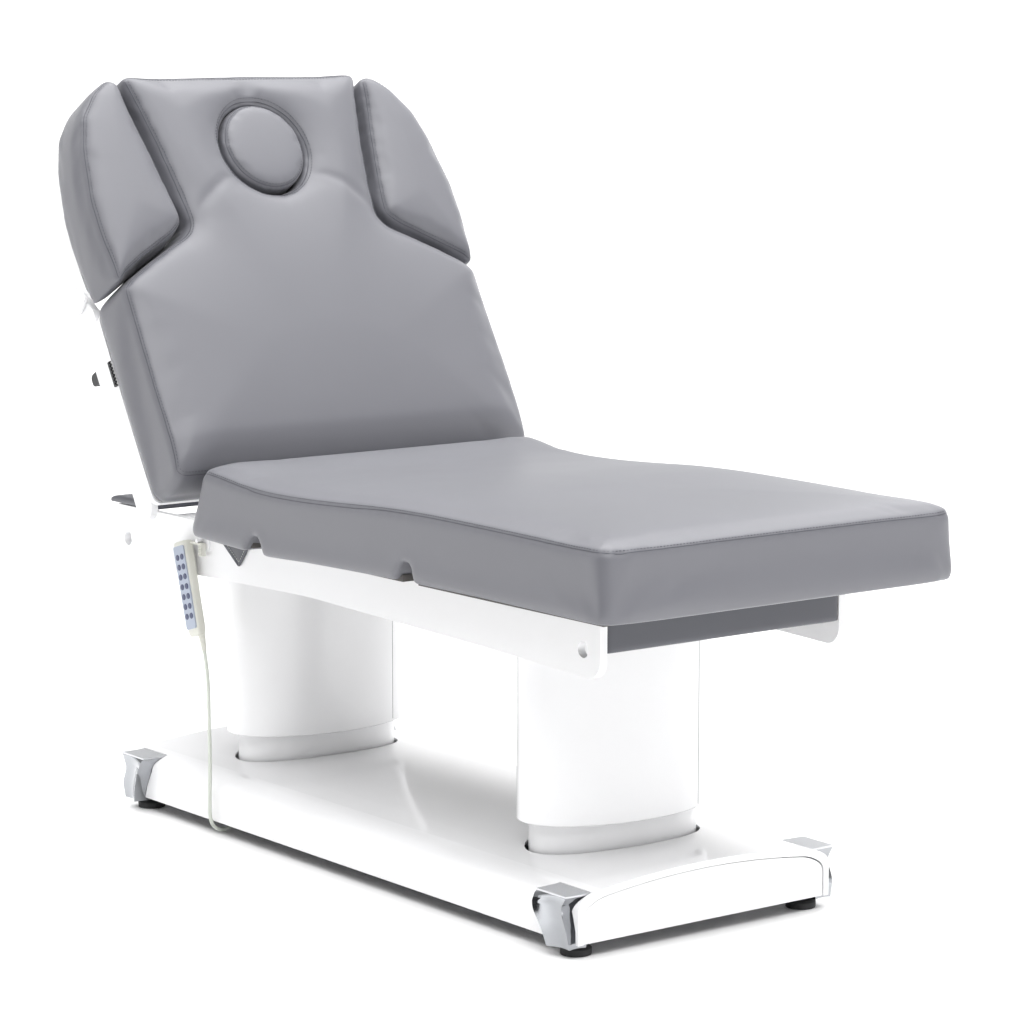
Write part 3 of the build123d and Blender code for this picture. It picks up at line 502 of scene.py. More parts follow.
def places(obj: bpy.types.Object) -> np.ndarray:
    """Args: obj. Returns: its vertex places as an array."""
    out = np.empty(len(obj.data.vertices) * 3)
    obj.data.vertices.foreach_get("co", out)
    return out.reshape(-1, 3)


def move_to(obj: bpy.types.Object, where: np.ndarray) -> None:
    """Args: obj; where, the new vertex places."""
    obj.data.vertices.foreach_set("co", where.astype(np.float32).ravel())
    obj.data.update()


def edge_distance(xy: np.ndarray, outline: Sequence[Point2]) -> np.ndarray:
    """Args: xy, points; outline, closed. Returns: each point's distance to the outline."""
    a = np.array(outline, float)
    b = np.roll(a, -1, axis=0)
    best = np.full(len(xy), 9.0)
    for p, q in zip(a, b):
        d = q - p
        t = np.clip(((xy - p) @ d) / max(d @ d, 1e-12), 0, 1)
        best = np.minimum(best, np.linalg.norm(xy - p - t[:, None] * d, axis=1))
    return best


def mirror_x(obj: bpy.types.Object, name: str) -> bpy.types.Object:
    """Args: obj; name. Returns: its mirror image on the other side of the bed."""
    twin = bpy.data.objects.new(name, obj.data.copy())
    twin.data.transform(Matrix.Scale(-1, 4, (1, 0, 0)))
    twin.data.flip_normals()
    bpy.context.scene.collection.objects.link(twin)
    return twin


# ---- upholstery ------------------------------------------------------------
@dataclass
class Cushion:
    """A boxed cushion: a crowned face panel sewn round its edge to a side band."""

    name: str
    outline: list[Point2]
    low: float
    high: float
    crown: float
    voxel: float = 0.006
    pressure: float = 4.0
    cap: float = 0.010
    holes: list[list[Point2]] = field(default_factory=list)
    shape: Union[Callable[[np.ndarray], np.ndarray], None] = None
    cutters: list[bpy.types.Object] = field(default_factory=list)
    spread: float = 0.09
    valley: float = 0.003
    tuck: float = 0.006
    steps: int = 20

    def build(self) -> bpy.types.Object:
        """Returns: the padded mesh, inflated, crowned and pinched at its seams."""
        obj = prism(self.name, self.outline, self.low, self.high)
        for index, hole in enumerate(self.holes):
            self.cutters.append(prism(f"cutter_{index}", hole, self.low - 0.05, self.high + 0.05))
        for cutter in self.cutters:
            cut = obj.modifiers.new("cut", "BOOLEAN")
            cut.operation = "DIFFERENCE"
            cut.object = cutter
            cut.solver = "EXACT"
            settle(obj)
            bpy.data.objects.remove(cutter, do_unlink=True)
        skin = obj.modifiers.new("skin", "REMESH")
        skin.mode = "VOXEL"
        skin.voxel_size = self.voxel
        settle(obj)
        self.inflate(obj)
        where = places(obj)
        rims = [self.outline] + self.holes
        away = np.min([edge_distance(where[:, :2], even_loop(rim, 0.02)) for rim in rims], axis=0)
        level = np.clip((where[:, 2] - self.low) / (self.high - self.low), 0, 1)
        rise = level ** 3 * self.crown * (1 - np.exp(-away / self.spread))
        edge = np.clip(1 - away / 0.016, 0, 1) ** 2
        where[:, 2] += rise - edge * level ** 6 * self.valley
        facing = np.empty(len(where) * 3)
        obj.data.vertices.foreach_get("normal", facing)
        drawn_in = np.clip(1 - level / 0.16, 0, 1) ** 2 * self.tuck
        where[:, :2] -= facing.reshape(-1, 3)[:, :2] * drawn_in[:, None]
        if self.shape:
            where = self.shape(where)
        move_to(obj, where)
        self.soften(obj, 3)
        for seam in self.seam_loops():
            self.pinch(obj, seam, 0.0075, 0.0026)
        fine = obj.modifiers.new("fine", "SUBSURF")
        fine.levels = 1
        fine.render_levels = 1
        settle(obj)
        obj.data.shade_smooth()
        return obj

    def inflate(self, obj: bpy.types.Object) -> None:
        """Args: obj, blown up as cloth and held at its underside."""
        start = places(obj)
        held = obj.vertex_groups.new(name="held")
        level = (start[:, 2] - self.low) / (self.high - self.low)
        held.add([int(i) for i in np.where(level < 0.08)[0]], 1.0, "ADD")
        cloth = obj.modifiers.new("cloth", "CLOTH")
        rules = cloth.settings
        rules.quality = 4
        rules.mass = 0.3
        rules.tension_stiffness = rules.compression_stiffness = 15
        rules.bending_stiffness = 0.5
        rules.effector_weights.gravity = 0
        rules.use_pressure = True
        rules.uniform_pressure_force = self.pressure
        rules.vertex_group_mass = "held"
        cloth.point_cache.frame_start = 1
        cloth.point_cache.frame_end = self.steps
        for step in range(1, self.steps + 1):
            bpy.context.scene.frame_set(step)
        seen = obj.evaluated_get(bpy.context.evaluated_depsgraph_get())
        after = np.empty(len(start) * 3)
        seen.data.vertices.foreach_get("co", after)
        obj.modifiers.clear()
        obj.vertex_groups.clear()
        move = after.reshape(-1, 3) - start
        far = np.linalg.norm(move, axis=1)
        move *= (self.cap * np.tanh(far / self.cap) / np.maximum(far, 1e-9))[:, None]
        move_to(obj, start + move)
        bpy.context.scene.frame_set(1)

    def soften(self, obj: bpy.types.Object, rounds: int) -> None:
        """Args: obj; rounds of smoothing that take out the voxel steps."""
        shell = bmesh.new()
        shell.from_mesh(obj.data)
        for _ in range(rounds):
            bmesh.ops.smooth_vert(shell, verts=shell.verts, factor=0.5, use_axis_x=True,
                                  use_axis_y=True, use_axis_z=True)
        shell.to_mesh(obj.data)
        shell.free()

    def seam_loops(self) -> list[list[Point3]]:
        """Returns: where the face panel is sewn to its band, before it is snapped to the skin."""
        loops = []
        for rim in [self.outline] + self.holes:
            flat = np.array([(x, y, self.high) for x, y in even_loop(rim, 0.006)])
            if self.shape:
                flat = self.shape(flat)
            loops.append([tuple(p) for p in flat])
        return loops

    def pinch(self, obj: bpy.types.Object, line: Sequence[Point3], width: float,
              depth: float) -> None:
        """Args: obj; line it is sewn on; width and depth of the valley the seam pulls in."""
        snapped = snap(obj, line)
        tree = KDTree(len(snapped))
        for index, spot in enumerate(snapped):
            tree.insert(spot, index)
        tree.balance()
        where = places(obj)
        normals = np.empty(len(where) * 3)
        obj.data.vertices.foreach_get("normal", normals)
        normals = normals.reshape(-1, 3)
        for i, spot in enumerate(where):
            near = tree.find(spot)[2]
            if near < width:
                where[i] = spot - normals[i] * depth * (1 - (near / width) ** 2) ** 2
        move_to(obj, where)


def snap(obj: bpy.types.Object, line: Sequence[Point3]) -> list[Point3]:
    """Args: obj; line. Returns: the line's points moved to the nearest place on the skin."""
    shell = bmesh.new()
    shell.from_mesh(obj.data)
    tree = BVHTree.FromBMesh(shell)
    found = [tuple(tree.find_nearest(Vector(p))[0]) for p in line]
    shell.free()
    pts = np.array(found)
    for _ in range(3):
        pts = 0.5 * pts + 0.25 * (np.roll(pts, 1, axis=0) + np.roll(pts, -1, axis=0))
    return [tuple(p) for p in pts]


def stitches(name: str, line: Sequence[Point3], pitch: float = 0.0066,
             radius: float = 0.00075) -> bpy.types.Object:
    """Args: name; line, closed, on the skin; pitch; radius. Returns: a row of thread stitches."""
    pts = np.array(list(line) + [line[0]], float)
    run = np.concatenate([[0.0], np.cumsum(np.linalg.norm(np.diff(pts, axis=0), axis=1))])
    count = int(run[-1] / pitch)
    points: list[Point3] = []
    faces: list[tuple[int, ...]] = []
    for k in range(count):
        ends = [np.array([np.interp(d, run, pts[:, c]) for c in range(3)])
                for d in (k * pitch, k * pitch + 0.68 * pitch)]
        way = Vector(ends[1] - ends[0]).normalized()
        side = way.cross(Vector((0.3, 0.2, 0.93))).normalized()
        other = way.cross(side)
        first = len(points)
        for reach, thin in ((0.0, 0.3), (0.25, 1.0), (0.75, 1.0), (1.0, 0.3)):
            mid = Vector(ends[0] * (1 - reach) + ends[1] * reach)
            for q in range(5):
                angle = 2 * math.pi * q / 5
                points.append(tuple(mid + (side * math.cos(angle) + other * math.sin(angle))
                                    * radius * thin))
        for ring in range(3):
            for q in range(5):
                a, b = first + ring * 5 + q, first + ring * 5 + (q + 1) % 5
                faces.append((a, b, b + 5, a + 5))
        faces.append(tuple(first + q for q in range(5))[::-1])
        faces.append(tuple(first + 15 + q for q in range(5)))
    return mesh_object(name, points, faces, 1.2)


@dataclass
class Upholstery:
    """Finishes a cushion with its seam thread and topstitching and fastens it to a body."""

    finishes: Finishes
    body: str
    place: Matrix = field(default_factory=lambda: Matrix.Identity(4))

    def fit(self, cushion: Cushion, nodes: Sequence[str], finish: str = "upholstery",
            built: Union[bpy.types.Object, None] = None) -> None:
        """Builds, sews, dresses and fastens one cushion.

        Args:
            cushion: what to build.
            nodes: the solids it stands for.
            finish: its cover.
            built: a mesh made already, such as a mirror image.
        """
        obj = built or cushion.build()
        sewn = []
        for index, (rim, line) in enumerate(zip([cushion.outline] + cushion.holes,
                                                cushion.seam_loops())):
            thread = snap(obj, line)
            sewn.append(tube(f"{cushion.name}_seam_{index}", thread, 0.0008, closed=True, sides=6))
            inner = inset(even_loop(rim, 0.006), 0.0085 if index == 0 else -0.0085)
            row = np.array([(x, y, cushion.high + cushion.crown * 0.1) for x, y in inner])
            if cushion.shape:
                row = cushion.shape(row)
            sewn.append(stitches(f"{cushion.name}_stitch_{index}", snap(obj, [tuple(p) for p in row])))
        thread = join(f"{cushion.name}_sewing", sewn)
        thread.data.shade_smooth()
        self.finishes.dress(thread, "thread", "upholstery")
        self.finishes.dress(obj, finish, finish)
        for piece in (obj, thread):
            piece.data.transform(self.place)
            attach(piece, self.body)
        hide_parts(*nodes)
        LOG.info("cushion %s: %d points", cushion.name, len(obj.data.vertices))


def on_back() -> Matrix:
    """Returns: the move from the backrest's own axes to its raised place."""
    return Matrix.Translation((0, *HINGE)) @ Matrix.Rotation(BACK_TILT, 4, "X")


def millimetres(points: Sequence[Point2]) -> list[Point2]:
    """Args: points in mm. Returns: the points in metres."""
    return [(x / 1000, y / 1000) for x, y in points]


@dataclass
class Seat:
    """The long seat cushion, its apron and the dark pieces under it."""

    finishes: Finishes
    half_width: float = 0.380
    length: float = 1.180
    corner: float = 0.046
    notch_places: tuple[float, float] = (0.533, 0.986)
    notch_width: float = 0.042
    notch_height: float = 0.036
    under_rail: float = 0.5835

    def top_line(self, y: np.ndarray) -> np.ndarray:
        """Args: y from the foot edge. Returns: height of the upper seam."""
        return np.interp(y, [0.0, 0.11, 0.317, 0.48, 0.6, 0.71, 0.83, 0.955, 1.02, 1.085, 1.134, 1.18],
                         [0.701, 0.7015, 0.704, 0.705, 0.7025, 0.696, 0.690, 0.688, 0.692, 0.699,
                          0.705, 0.705])

    def low_line(self, y: np.ndarray) -> np.ndarray:
        """Args: y from the foot edge. Returns: height of the side band's lower edge."""
        return np.interp(y, [0.0, 0.318, 0.544, 0.71, 0.833, 0.952, 1.022, 1.154, 1.22],
                         [0.584, 0.586, 0.585, 0.582, 0.579, 0.574, 0.576, 0.581, 0.583])

    def shape(self, where: np.ndarray) -> np.ndarray:
        """Args: where, points of the flat slab, 0 to 1 high by its seams. Returns: the real form."""
        out = where.copy()
        y = where[:, 1]
        level = (where[:, 2] - 0.582) / 0.123
        smooth = sum(self.top_line(y + d) for d in (-0.04, -0.02, 0.0, 0.02, 0.04)) / 5
        outer = np.clip((np.abs(where[:, 0]) - 0.275) / 0.05, 0, 1)
        low = self.under_rail * (1 - outer) + self.low_line(y) * outer
        out[:, 2] = low + level * (smooth - low)
        rear = np.clip((y - 1.0) / 0.18, 0, 1)
        out[:, 1] = y + rear * (1 - np.clip(level, 0, 1)) * 0.040 + SHIFT_Y
        return out

    def notch_cutter(self, y: float, side: Side) -> bpy.types.Object:
        """Args: y, the notch's middle; side. Returns: the arch that is cut from the band."""
        half = self.notch_width / 2
        arch = [(half, -0.01), (half, self.notch_height - half)]
        arch += [(half * math.cos(a), self.notch_height - half + half * math.sin(a))
                 for a in (math.pi * k / 8 for k in range(1, 8))]
        arch += [(-half, self.notch_height - half), (-half * 1.5, -0.01)]
        x0, x1 = sorted((side.value * 0.334, side.value * 0.42))
        loops = [[(x, y - u, 0.582 + v) for u, v in arch] for x in (x0, x1)]
        return loft("notch", loops)

    def build(self) -> None:
        """Makes the cushion, apron, tail pad and flap."""
        w, n = self.half_width, self.length
        outline = round_corners([(-w, 0), (w, 0), (w, n), (-w, n)], [self.corner] * 4)
        cutters = [self.notch_cutter(y, side) for y in self.notch_places for side in Side]
        cushion = Cushion("seat_pad", outline, 0.582, 0.705, 0.020, voxel=0.0075, cap=0.008,
                          shape=self.shape, cutters=cutters, spread=0.11)
        Upholstery(self.finishes, "frame").fit(cushion, ["seat_cushion"])
        self.build_apron()
        self.build_tail_pad()
        self.build_flap()

    def soft_block(self, name: str, low: Point3, high: Point3, swell: float,
                   voxel: float) -> bpy.types.Object:
        """Args: name; low and high corners; swell; voxel. Returns: a small rounded pad."""
        (x0, y0, z0), (x1, y1, z1) = low, high
        outline = [(x0, y0), (x1, y0), (x1, y1), (x0, y1)]
        obj = prism(name, outline, z0, z1)
        skin = obj.modifiers.new("skin", "REMESH")
        skin.mode = "VOXEL"
        skin.voxel_size = voxel
        soft = obj.modifiers.new("soft", "SMOOTH")
        soft.factor = 0.5
        soft.iterations = 4
        settle(obj)
        where = places(obj)
        middle = np.array([(x0 + x1) / 2, (y0 + y1) / 2, (z0 + z1) / 2])
        half = np.array([(x1 - x0) / 2, (y1 - y0) / 2, (z1 - z0) / 2])
        part = np.clip(np.abs(where - middle) / half, 0, 1)
        thin = int(np.argmin(half))
        others = [a for a in range(3) if a != thin]
        dome = np.prod([1 - part[:, a] ** 6 for a in others], axis=0)
        where[:, thin] += np.sign(where[:, thin] - middle[thin]) * dome * swell
        move_to(obj, where)
        obj.data.shade_smooth()
        return obj

    def build_apron(self) -> None:
        """The dark padded panel between the rails under the foot edge."""
        low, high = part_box("foot_apron")
        apron = self.soft_block("apron_pad", tuple(low), (high[0], high[1] - 0.001, high[2] - 0.001),
                                0.0012, 0.004)
        self.finishes.dress(apron, "upholstery_dark")
        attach(apron, "frame")
        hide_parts("foot_apron")

    def build_tail_pad(self) -> None:
        """The dark pad that lies on the rails behind the backrest."""
        low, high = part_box("tail_pad")
        pad = self.soft_block("tail_cushion", (low[0], low[1], low[2] + 0.001), tuple(high), 0.0008,
                              0.004)
        where = places(pad)
        part = np.clip((where[:, 1] - high[1] + 0.03) / 0.03, 0, 1)
        where[:, 2] = low[2] + 0.001 + (where[:, 2] - low[2]) * (1 - 0.45 * part ** 2)
        move_to(pad, where)
        self.finishes.dress(pad, "upholstery_dark")
        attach(pad, "frame")
        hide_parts("tail_pad")

    def build_flap(self) -> None:
        """The dark stitched corner of cloth that hangs beside the left rail."""
        low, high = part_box("corner_flap")
        y0, y1, top, drop = low[1], high[1], high[2] - 0.001, high[2] - low[2]
        x = -RAIL_OUTER - 0.0022
        points, faces = [], []
        rows, cols = 14, 30
        tip = y0 + 0.35 * (y1 - y0)
        for r in range(rows + 1):
            v = r / rows
            left = y0 + (tip - y0) * v
            right = y1 + (tip + 0.004 - y1) * v
            for c in range(cols + 1):
                u = c / cols
                fold = 0.0006 * math.sin(9 * u + 3 * v) * v
                points.append((x - 0.0008 + fold, left + (right - left) * u, top - drop * v * 0.97))
        for r in range(rows):
            for c in range(cols):
                a = r * (cols + 1) + c
                faces.append((a, a + 1, a + cols + 2, a + cols + 1))
        flap = mesh_object("corner_flap_cloth", points, faces)
        thick = flap.modifiers.new("thick", "SOLIDIFY")
        thick.thickness = 0.0022
        thick.offset = 0.0
        settle(flap)
        flap.data.shade_smooth()
        self.finishes.dress(flap, "upholstery_dark")
        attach(flap, "frame")
        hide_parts("corner_flap")
        border = [(x - 0.0022, y0 + 0.014, top - 0.006), (x - 0.0022, tip, top - drop * 0.86),
                  (x - 0.0022, y1 - 0.022, top - 0.006)]
        dense = [tuple(Vector(a).lerp(Vector(b), k / 24))
                 for a, b in zip(border, border[1:] + border[:1]) for k in range(24)]
        sewing = stitches("corner_flap_sewing", dense, 0.006, 0.0004)
        self.finishes.dress(sewing, "cord_plastic")
        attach(sewing, "frame")


@dataclass
class Backrest:
    """Back cushion with its face hole, plug and two folding wings."""

    finishes: Finishes
    seam_level: float = 0.107
    board_level: float = -0.005
    hole_middle: float = 0.685
    hole_half: Point2 = (0.094, 0.097)
    heel_round: float = 0.018
    heel_reach: float = 0.006
    heel_fall: float = 0.014

    def panel(self) -> list[Point2]:
        """Returns: the main cushion's outline in the backrest's own axes."""
        right = millimetres([(402, 19), (405, 200), (402, 408), (377, 431), (332, 459), (253, 502),
                             (229, 514), (216, 534), (220, 580), (238, 693), (262, 812),
                             (270, 846)])
        left = [(-x, y) for x, y in reversed(right)]
        radii = [0.03, 0.2, 0.018, 0.05, 0.2, 0.08, 0.018, 0.018, 0.06, 0.3, 0.08, 0.032]
        return round_corners(right + left, radii + radii[::-1])

    def wing(self) -> list[Point2]:
        """Returns: the right-hand wing's outline in the backrest's own axes."""
        points = millimetres([(226, 534), (255, 508), (334, 463), (379, 435), (405, 415),
                              (416, 520), (416, 585), (399, 694), (377, 762), (338, 812),
                              (300, 838), (277, 834), (269, 790), (249, 693), (231, 588)])
        return round_corners(points, [0.014, 0.05, 0.2, 0.08, 0.016, 0.12, 0.12, 0.12, 0.06, 0.04,
                                      0.02, 0.012, 0.05, 0.3, 0.1])

    def hole(self, shrink: float) -> list[Point2]:
        """Args: shrink, how much smaller all round. Returns: the oval round the face hole."""
        a, b = self.hole_half[0] - shrink, self.hole_half[1] - shrink
        return [(a * math.cos(t), self.hole_middle + b * math.sin(t))
                for t in (2 * math.pi * k / 48 for k in range(48))]

    def heel(self, where: np.ndarray) -> np.ndarray:
        """Args: where, points. Returns: the points with the lower front edge rounded under."""
        out = where.copy()
        near = np.clip((0.105 - out[:, 1]) / 0.086, 0, 1)
        over = np.clip((out[:, 2] - 0.045) / 0.062, 0, 1.3)
        band = np.clip((where[:, 2] - 0.018) / 0.02, 0, 1)
        out[:, 1] += near ** 1.5 * over ** 1.7 * self.heel_round
        out[:, 1] -= near ** 2 * band * self.heel_reach
        out[:, 2] -= near ** 1.2 * np.clip(over, 0, 1) * self.heel_fall
        return out

    def build(self) -> None:
        """Makes the back cushion, plug and wings."""
        place = on_back()
        main = Cushion("back_pad", self.panel(), self.board_level, self.seam_level, 0.017,
                       voxel=0.007, cap=0.007, holes=[self.hole(0.0)], shape=self.heel)
        Upholstery(self.finishes, "backrest", place).fit(main, ["back_cushion"])
        plug = Cushion("face_plug_pad", self.hole(0.005), self.board_level + 0.012,
                       self.seam_level + 0.004, 0.006, voxel=0.004, cap=0.003, spread=0.03)
        Upholstery(self.finishes, "face_plug", place).fit(plug, ["face_plug"])
        right = Cushion("wing_pad_right", self.wing(), self.board_level, self.seam_level, 0.013,
                        voxel=0.0055, cap=0.005, spread=0.05)
        made = right.build()
        twin = mirror_x(made, "wing_pad_left")
        Upholstery(self.finishes, "wing_right", place).fit(right, ["wing_cushion_right"], built=made)
        flipped = [(-x, y) for x, y in reversed(self.wing())]
        left = Cushion("wing_pad_left", flipped, self.board_level, self.seam_level, 0.013)
        Upholstery(self.finishes, "wing_left", place).fit(left, ["wing_cushion_left"], built=twin)


# ---- metalwork -------------------------------------------------------------
@dataclass
class Base:
    """Corner guards and the trim of the columns."""

    finishes: Finishes
    half_width: float = 0.272
    front: float = 0.207 + SHIFT_Y
    middle: float = 0.898 + SHIFT_Y
    heights: tuple[float, ...] = (0.018, 0.048, 0.080, 0.097, 0.1045)
    ridge_out: tuple[float, ...] = (0.012, 0.018, 0.018, 0.020, 0.018)
    ridge_along: tuple[float, ...] = (0.0, 0.001, 0.016, 0.008, 0.001)
    rear_out: tuple[float, ...] = (0.022, 0.026, 0.031, 0.027, 0.019)
    rear_along: tuple[float, ...] = (0.048, 0.058, 0.076, 0.078, 0.078)
    depth: tuple[float, ...] = (0.022, 0.026, 0.030, 0.031, 0.032)

    def at(self, row: Sequence[float], z: float) -> float:
        """Args: row, one measure at each of the heights; z. Returns: it at z, eased between them."""
        near = [float(np.interp(z + d, self.heights, row)) for d in (-0.007, 0.0, 0.007)]
        ends = min(z - self.heights[0], self.heights[-1] - z)
        ease = min(1.0, ends / 0.007)
        return near[1] * (1 - ease) + ease * sum(near) / 3

    def guard(self) -> bpy.types.Object:
        """Returns: the left foot corner's polished guard with its two hollow facets."""
        side, front = -self.half_width, self.front
        loops = []
        steps = 26
        for k in range(steps + 1):
            z = self.heights[-1] + (self.heights[0] - self.heights[-1]) * k / steps
            depth, rear = self.at(self.depth, z), self.at(self.rear_along, z)
            inner = Vector((side + depth, front, z))
            ridge = Vector((side - self.at(self.ridge_out, z), front + self.at(self.ridge_along, z), z))
            outer = Vector((side - self.at(self.rear_out, z), front + rear, z))
            deep = Vector((side + depth, front + rear + 0.004, z))
            hollow = 0.006 * min(1.0, k / 5)
            loop = []
            for a, b, inward in ((inner, ridge, Vector((0.15, 0.7, 0))),
                                 (ridge, outer, Vector((1.0, 0.1, 0)))):
                for m in range(9):
                    u = m / 9
                    loop.append(tuple(a.lerp(b, u) + inward * hollow * math.sin(math.pi * u)))
            loop += [tuple(outer), tuple(deep)]
            loops.append(loop)
        return loft("guard", loops, 0.75)

    def spread(self, piece: bpy.types.Object, name: str) -> bpy.types.Object:
        """Args: piece at the left foot corner; name. Returns: it at all four corners."""
        parts = [piece, mirror_x(piece, "copy")]
        for part in list(parts):
            rear = bpy.data.objects.new("rear", part.data.copy())
            rear.data.transform(Matrix.Translation((0, 2 * self.middle, 0))
                                @ Matrix.Scale(-1, 4, (0, 1, 0)))
            rear.data.flip_normals()
            bpy.context.scene.collection.objects.link(rear)
            parts.append(rear)
        made = join(name, parts)
        made.data.set_sharp_from_angle(angle=0.75)
        return made

    def build(self) -> None:
        """Makes the guards and the rounded lips and joint lines of the shrouds."""
        guards = self.spread(self.guard(), "polished_guards")
        self.finishes.dress(guards, "bright_metal")
        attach(guards, "base")
        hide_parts("corner_guards")
        for name in ("column_shroud_foot", "column_shroud_head"):
            low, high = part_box(name)
            cx, cy = (low[0] + high[0]) / 2, (low[1] + high[1]) / 2
            a, b = (high[0] - low[0]) / 2, (high[1] - low[1]) / 2
            rim = [(cx + (a - 0.0026) * math.cos(t), cy + (b - 0.0026) * math.sin(t), low[2] + 0.0002)
                   for t in (2 * math.pi * k / 160 for k in range(160))]
            lip = tube(f"{name}_lip", rim, 0.0028, closed=True, sides=12)
            self.finishes.dress(lip, "white_cover")
            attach(lip, "frame")
            turn = math.radians(-52)
            x, y = cx + a * math.cos(turn), cy + b * math.sin(turn)
            line = tube(f"{name}_joint", [(x, y, low[2] + 0.003 + (high[2] - low[2] - 0.006) * k / 20)
                                          for k in range(21)], 0.0006, sides=6)
            self.finishes.dress(line, "shadow_gap", "white_cover")
            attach(line, "frame")


@dataclass
class Handset:
    """The hand control, its keys and its lead."""

    finishes: Finishes
    top_y: float = 1.374 + SHIFT_Y
    top_z: float = 0.543
    face_x: float = -RAIL_OUTER - 0.006
    width: float = 0.046
    thick: float = 0.022
    length: float = 0.180
    tilt: float = math.radians(-16)

    def place(self) -> Matrix:
        """Returns: the move from the handset's own axes to its hook."""
        return (Matrix.Translation((self.face_x, self.top_y, self.top_z))
                @ Matrix.Rotation(self.tilt, 4, "X"))

    def section(self, z: float, half_w: float, half_t: float) -> list[Point3]:
        """Args: z down the body; half_w and half_t. Returns: one soft rectangular section."""
        out = []
        for k in range(36):
            a = 2 * math.pi * k / 36
            c, s = math.cos(a), math.sin(a)
            out.append((-self.thick / 2 + half_t * math.copysign(abs(c) ** 0.5, c),
                        half_w * math.copysign(abs(s) ** 0.5, s), z))
        return out

    def build(self) -> None:
        """Makes the shell, membrane, keys, strain relief and lead."""
        half, t, n = self.width / 2, self.thick / 2, self.length
        stations = [(0.0, 0.86, 0.72), (-0.002, 0.95, 0.9), (-0.006, 1.0, 1.0), (-0.05, 1.0, 1.0),
                    (-0.085, 0.94, 0.96), (-0.12, 0.90, 0.94), (-0.155, 0.92, 0.95),
                    (-0.173, 0.88, 0.9), (-0.178, 0.8, 0.76), (-n, 0.66, 0.55)]
        body = loft("handset_shell", [self.section(z, half * w, t * d) for z, w, d in stations], 0.9)
        fine = body.modifiers.new("fine", "SUBSURF")
        fine.levels = 1
        settle(body)
        body.data.shade_smooth()
        self.finishes.dress(body, "handset_plastic")
        panel = round_corners([(-0.0165, -0.165), (0.0165, -0.165), (0.0180, -0.009),
                               (-0.0180, -0.009)], [0.005] * 4)
        membrane = loft("handset_panel", [[(x, y, z) for y, z in panel]
                                          for x in (-self.thick - 0.0009, -self.thick + 0.002)], 0.5)
        self.finishes.dress(membrane, "handset_membrane")
        keys = []
        for row in range(7):
            for column in (-0.0078, 0.0078):
                centre = (column, -0.030 - row * 0.0185)
                rings = []
                for lift, scale in ((0.0, 1.0), (0.0007, 0.94), (0.0011, 0.7), (0.0012, 0.25)):
                    rings.append([(-self.thick - 0.0008 - lift,
                                   centre[0] + 0.0064 * scale * math.cos(a),
                                   centre[1] + 0.0058 * scale * math.sin(a))
                                  for a in (2 * math.pi * k / 18 for k in range(18))])
                keys.append(loft("key", rings, 1.2))
        pads = join("handset_key_pads", keys)
        pads.data.shade_smooth()
        self.finishes.dress(pads, "handset_keys", "handset_membrane")
        relief = self.relief()
        self.finishes.dress(relief, "handset_plastic")
        for piece in (body, membrane, pads, relief):
            piece.data.transform(self.place())
            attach(piece, "frame")
        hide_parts("handset_body")
        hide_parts("handset_keypad")
        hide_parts("handset_strain_relief")
        self.lead()

    def relief(self) -> bpy.types.Object:
        """Returns: the ribbed tapered sleeve at the handset's lower end."""
        rings = []
        for k in range(31):
            u = k / 30
            radius = 0.0065 + (0.0041 - 0.0065) * u
            radius += 0.0006 * (1 if k % 4 in (1, 2) else 0)
            rings.append([(-self.thick / 2 + radius * math.cos(a), -0.014 + radius * math.sin(a),
                           -self.length + 0.002 - 0.032 * u)
                          for a in (2 * math.pi * j / 20 for j in range(20))])
        return loft("handset_relief", rings, 0.5)

    def lead(self) -> None:
        """The lead: it hangs, turns in under the base and goes up into its gland."""
        route = [(-0.2805, 1.30266, 0.34499), (-0.2805, 1.29025, 0.30174),
                 (-0.2825, 1.28666, 0.21599), (-0.2825, 1.28466, 0.13899),
                 (-0.2825, 1.28766, 0.07699), (-0.2825, 1.28866, 0.0260),
                 (-0.2655, 1.28866, 0.0070), (-0.2395, 1.28816, 0.0070),
                 (-0.2225, 1.28766, 0.0240), (-0.2225, 1.28766, 0.0440)]
        curve = bpy.data.curves.new("lead_line", "CURVE")
        curve.dimensions = "3D"
        curve.resolution_u = 12
        spline = curve.splines.new("NURBS")
        spline.points.add(len(route) - 1)
        for point, (x, y, z) in zip(spline.points, route):
            point.co = (x, y + SHIFT_Y, z, 1.0)
        spline.order_u = 3
        spline.use_endpoint_u = True
        line = bpy.data.objects.new("lead_line", curve)
        bpy.context.scene.collection.objects.link(line)
        bpy.context.view_layer.update()
        seen = line.evaluated_get(bpy.context.evaluated_depsgraph_get())
        mesh = bpy.data.meshes.new_from_object(seen)
        path = [tuple(v.co) for v in mesh.vertices]
        bpy.data.objects.remove(line, do_unlink=True)
        lead = tube("handset_lead", path, 0.0035, sides=14)
        self.finishes.dress(lead, "cord_plastic")
        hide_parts("handset_cord")
        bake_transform(lead)


class CarriedOver:
    """The solids that show as they are, each with its own finish."""

    def __init__(self, finishes: Finishes) -> None:
        """Args: finishes, every finish."""
        self.finishes = finishes

    def build(self) -> None:
        """Gives each solid the procedural finish of its slot."""
        slots = {s["node"]: s["material_slot"] for s in frame["record"]["subparts"]}
        for name, obj in frame["nodes"].items():
            obj.data.materials.clear()
            obj.data.materials.append(self.finishes.made[slots[name]])
            LOG.info("solid %s: %s", name, slots[name])


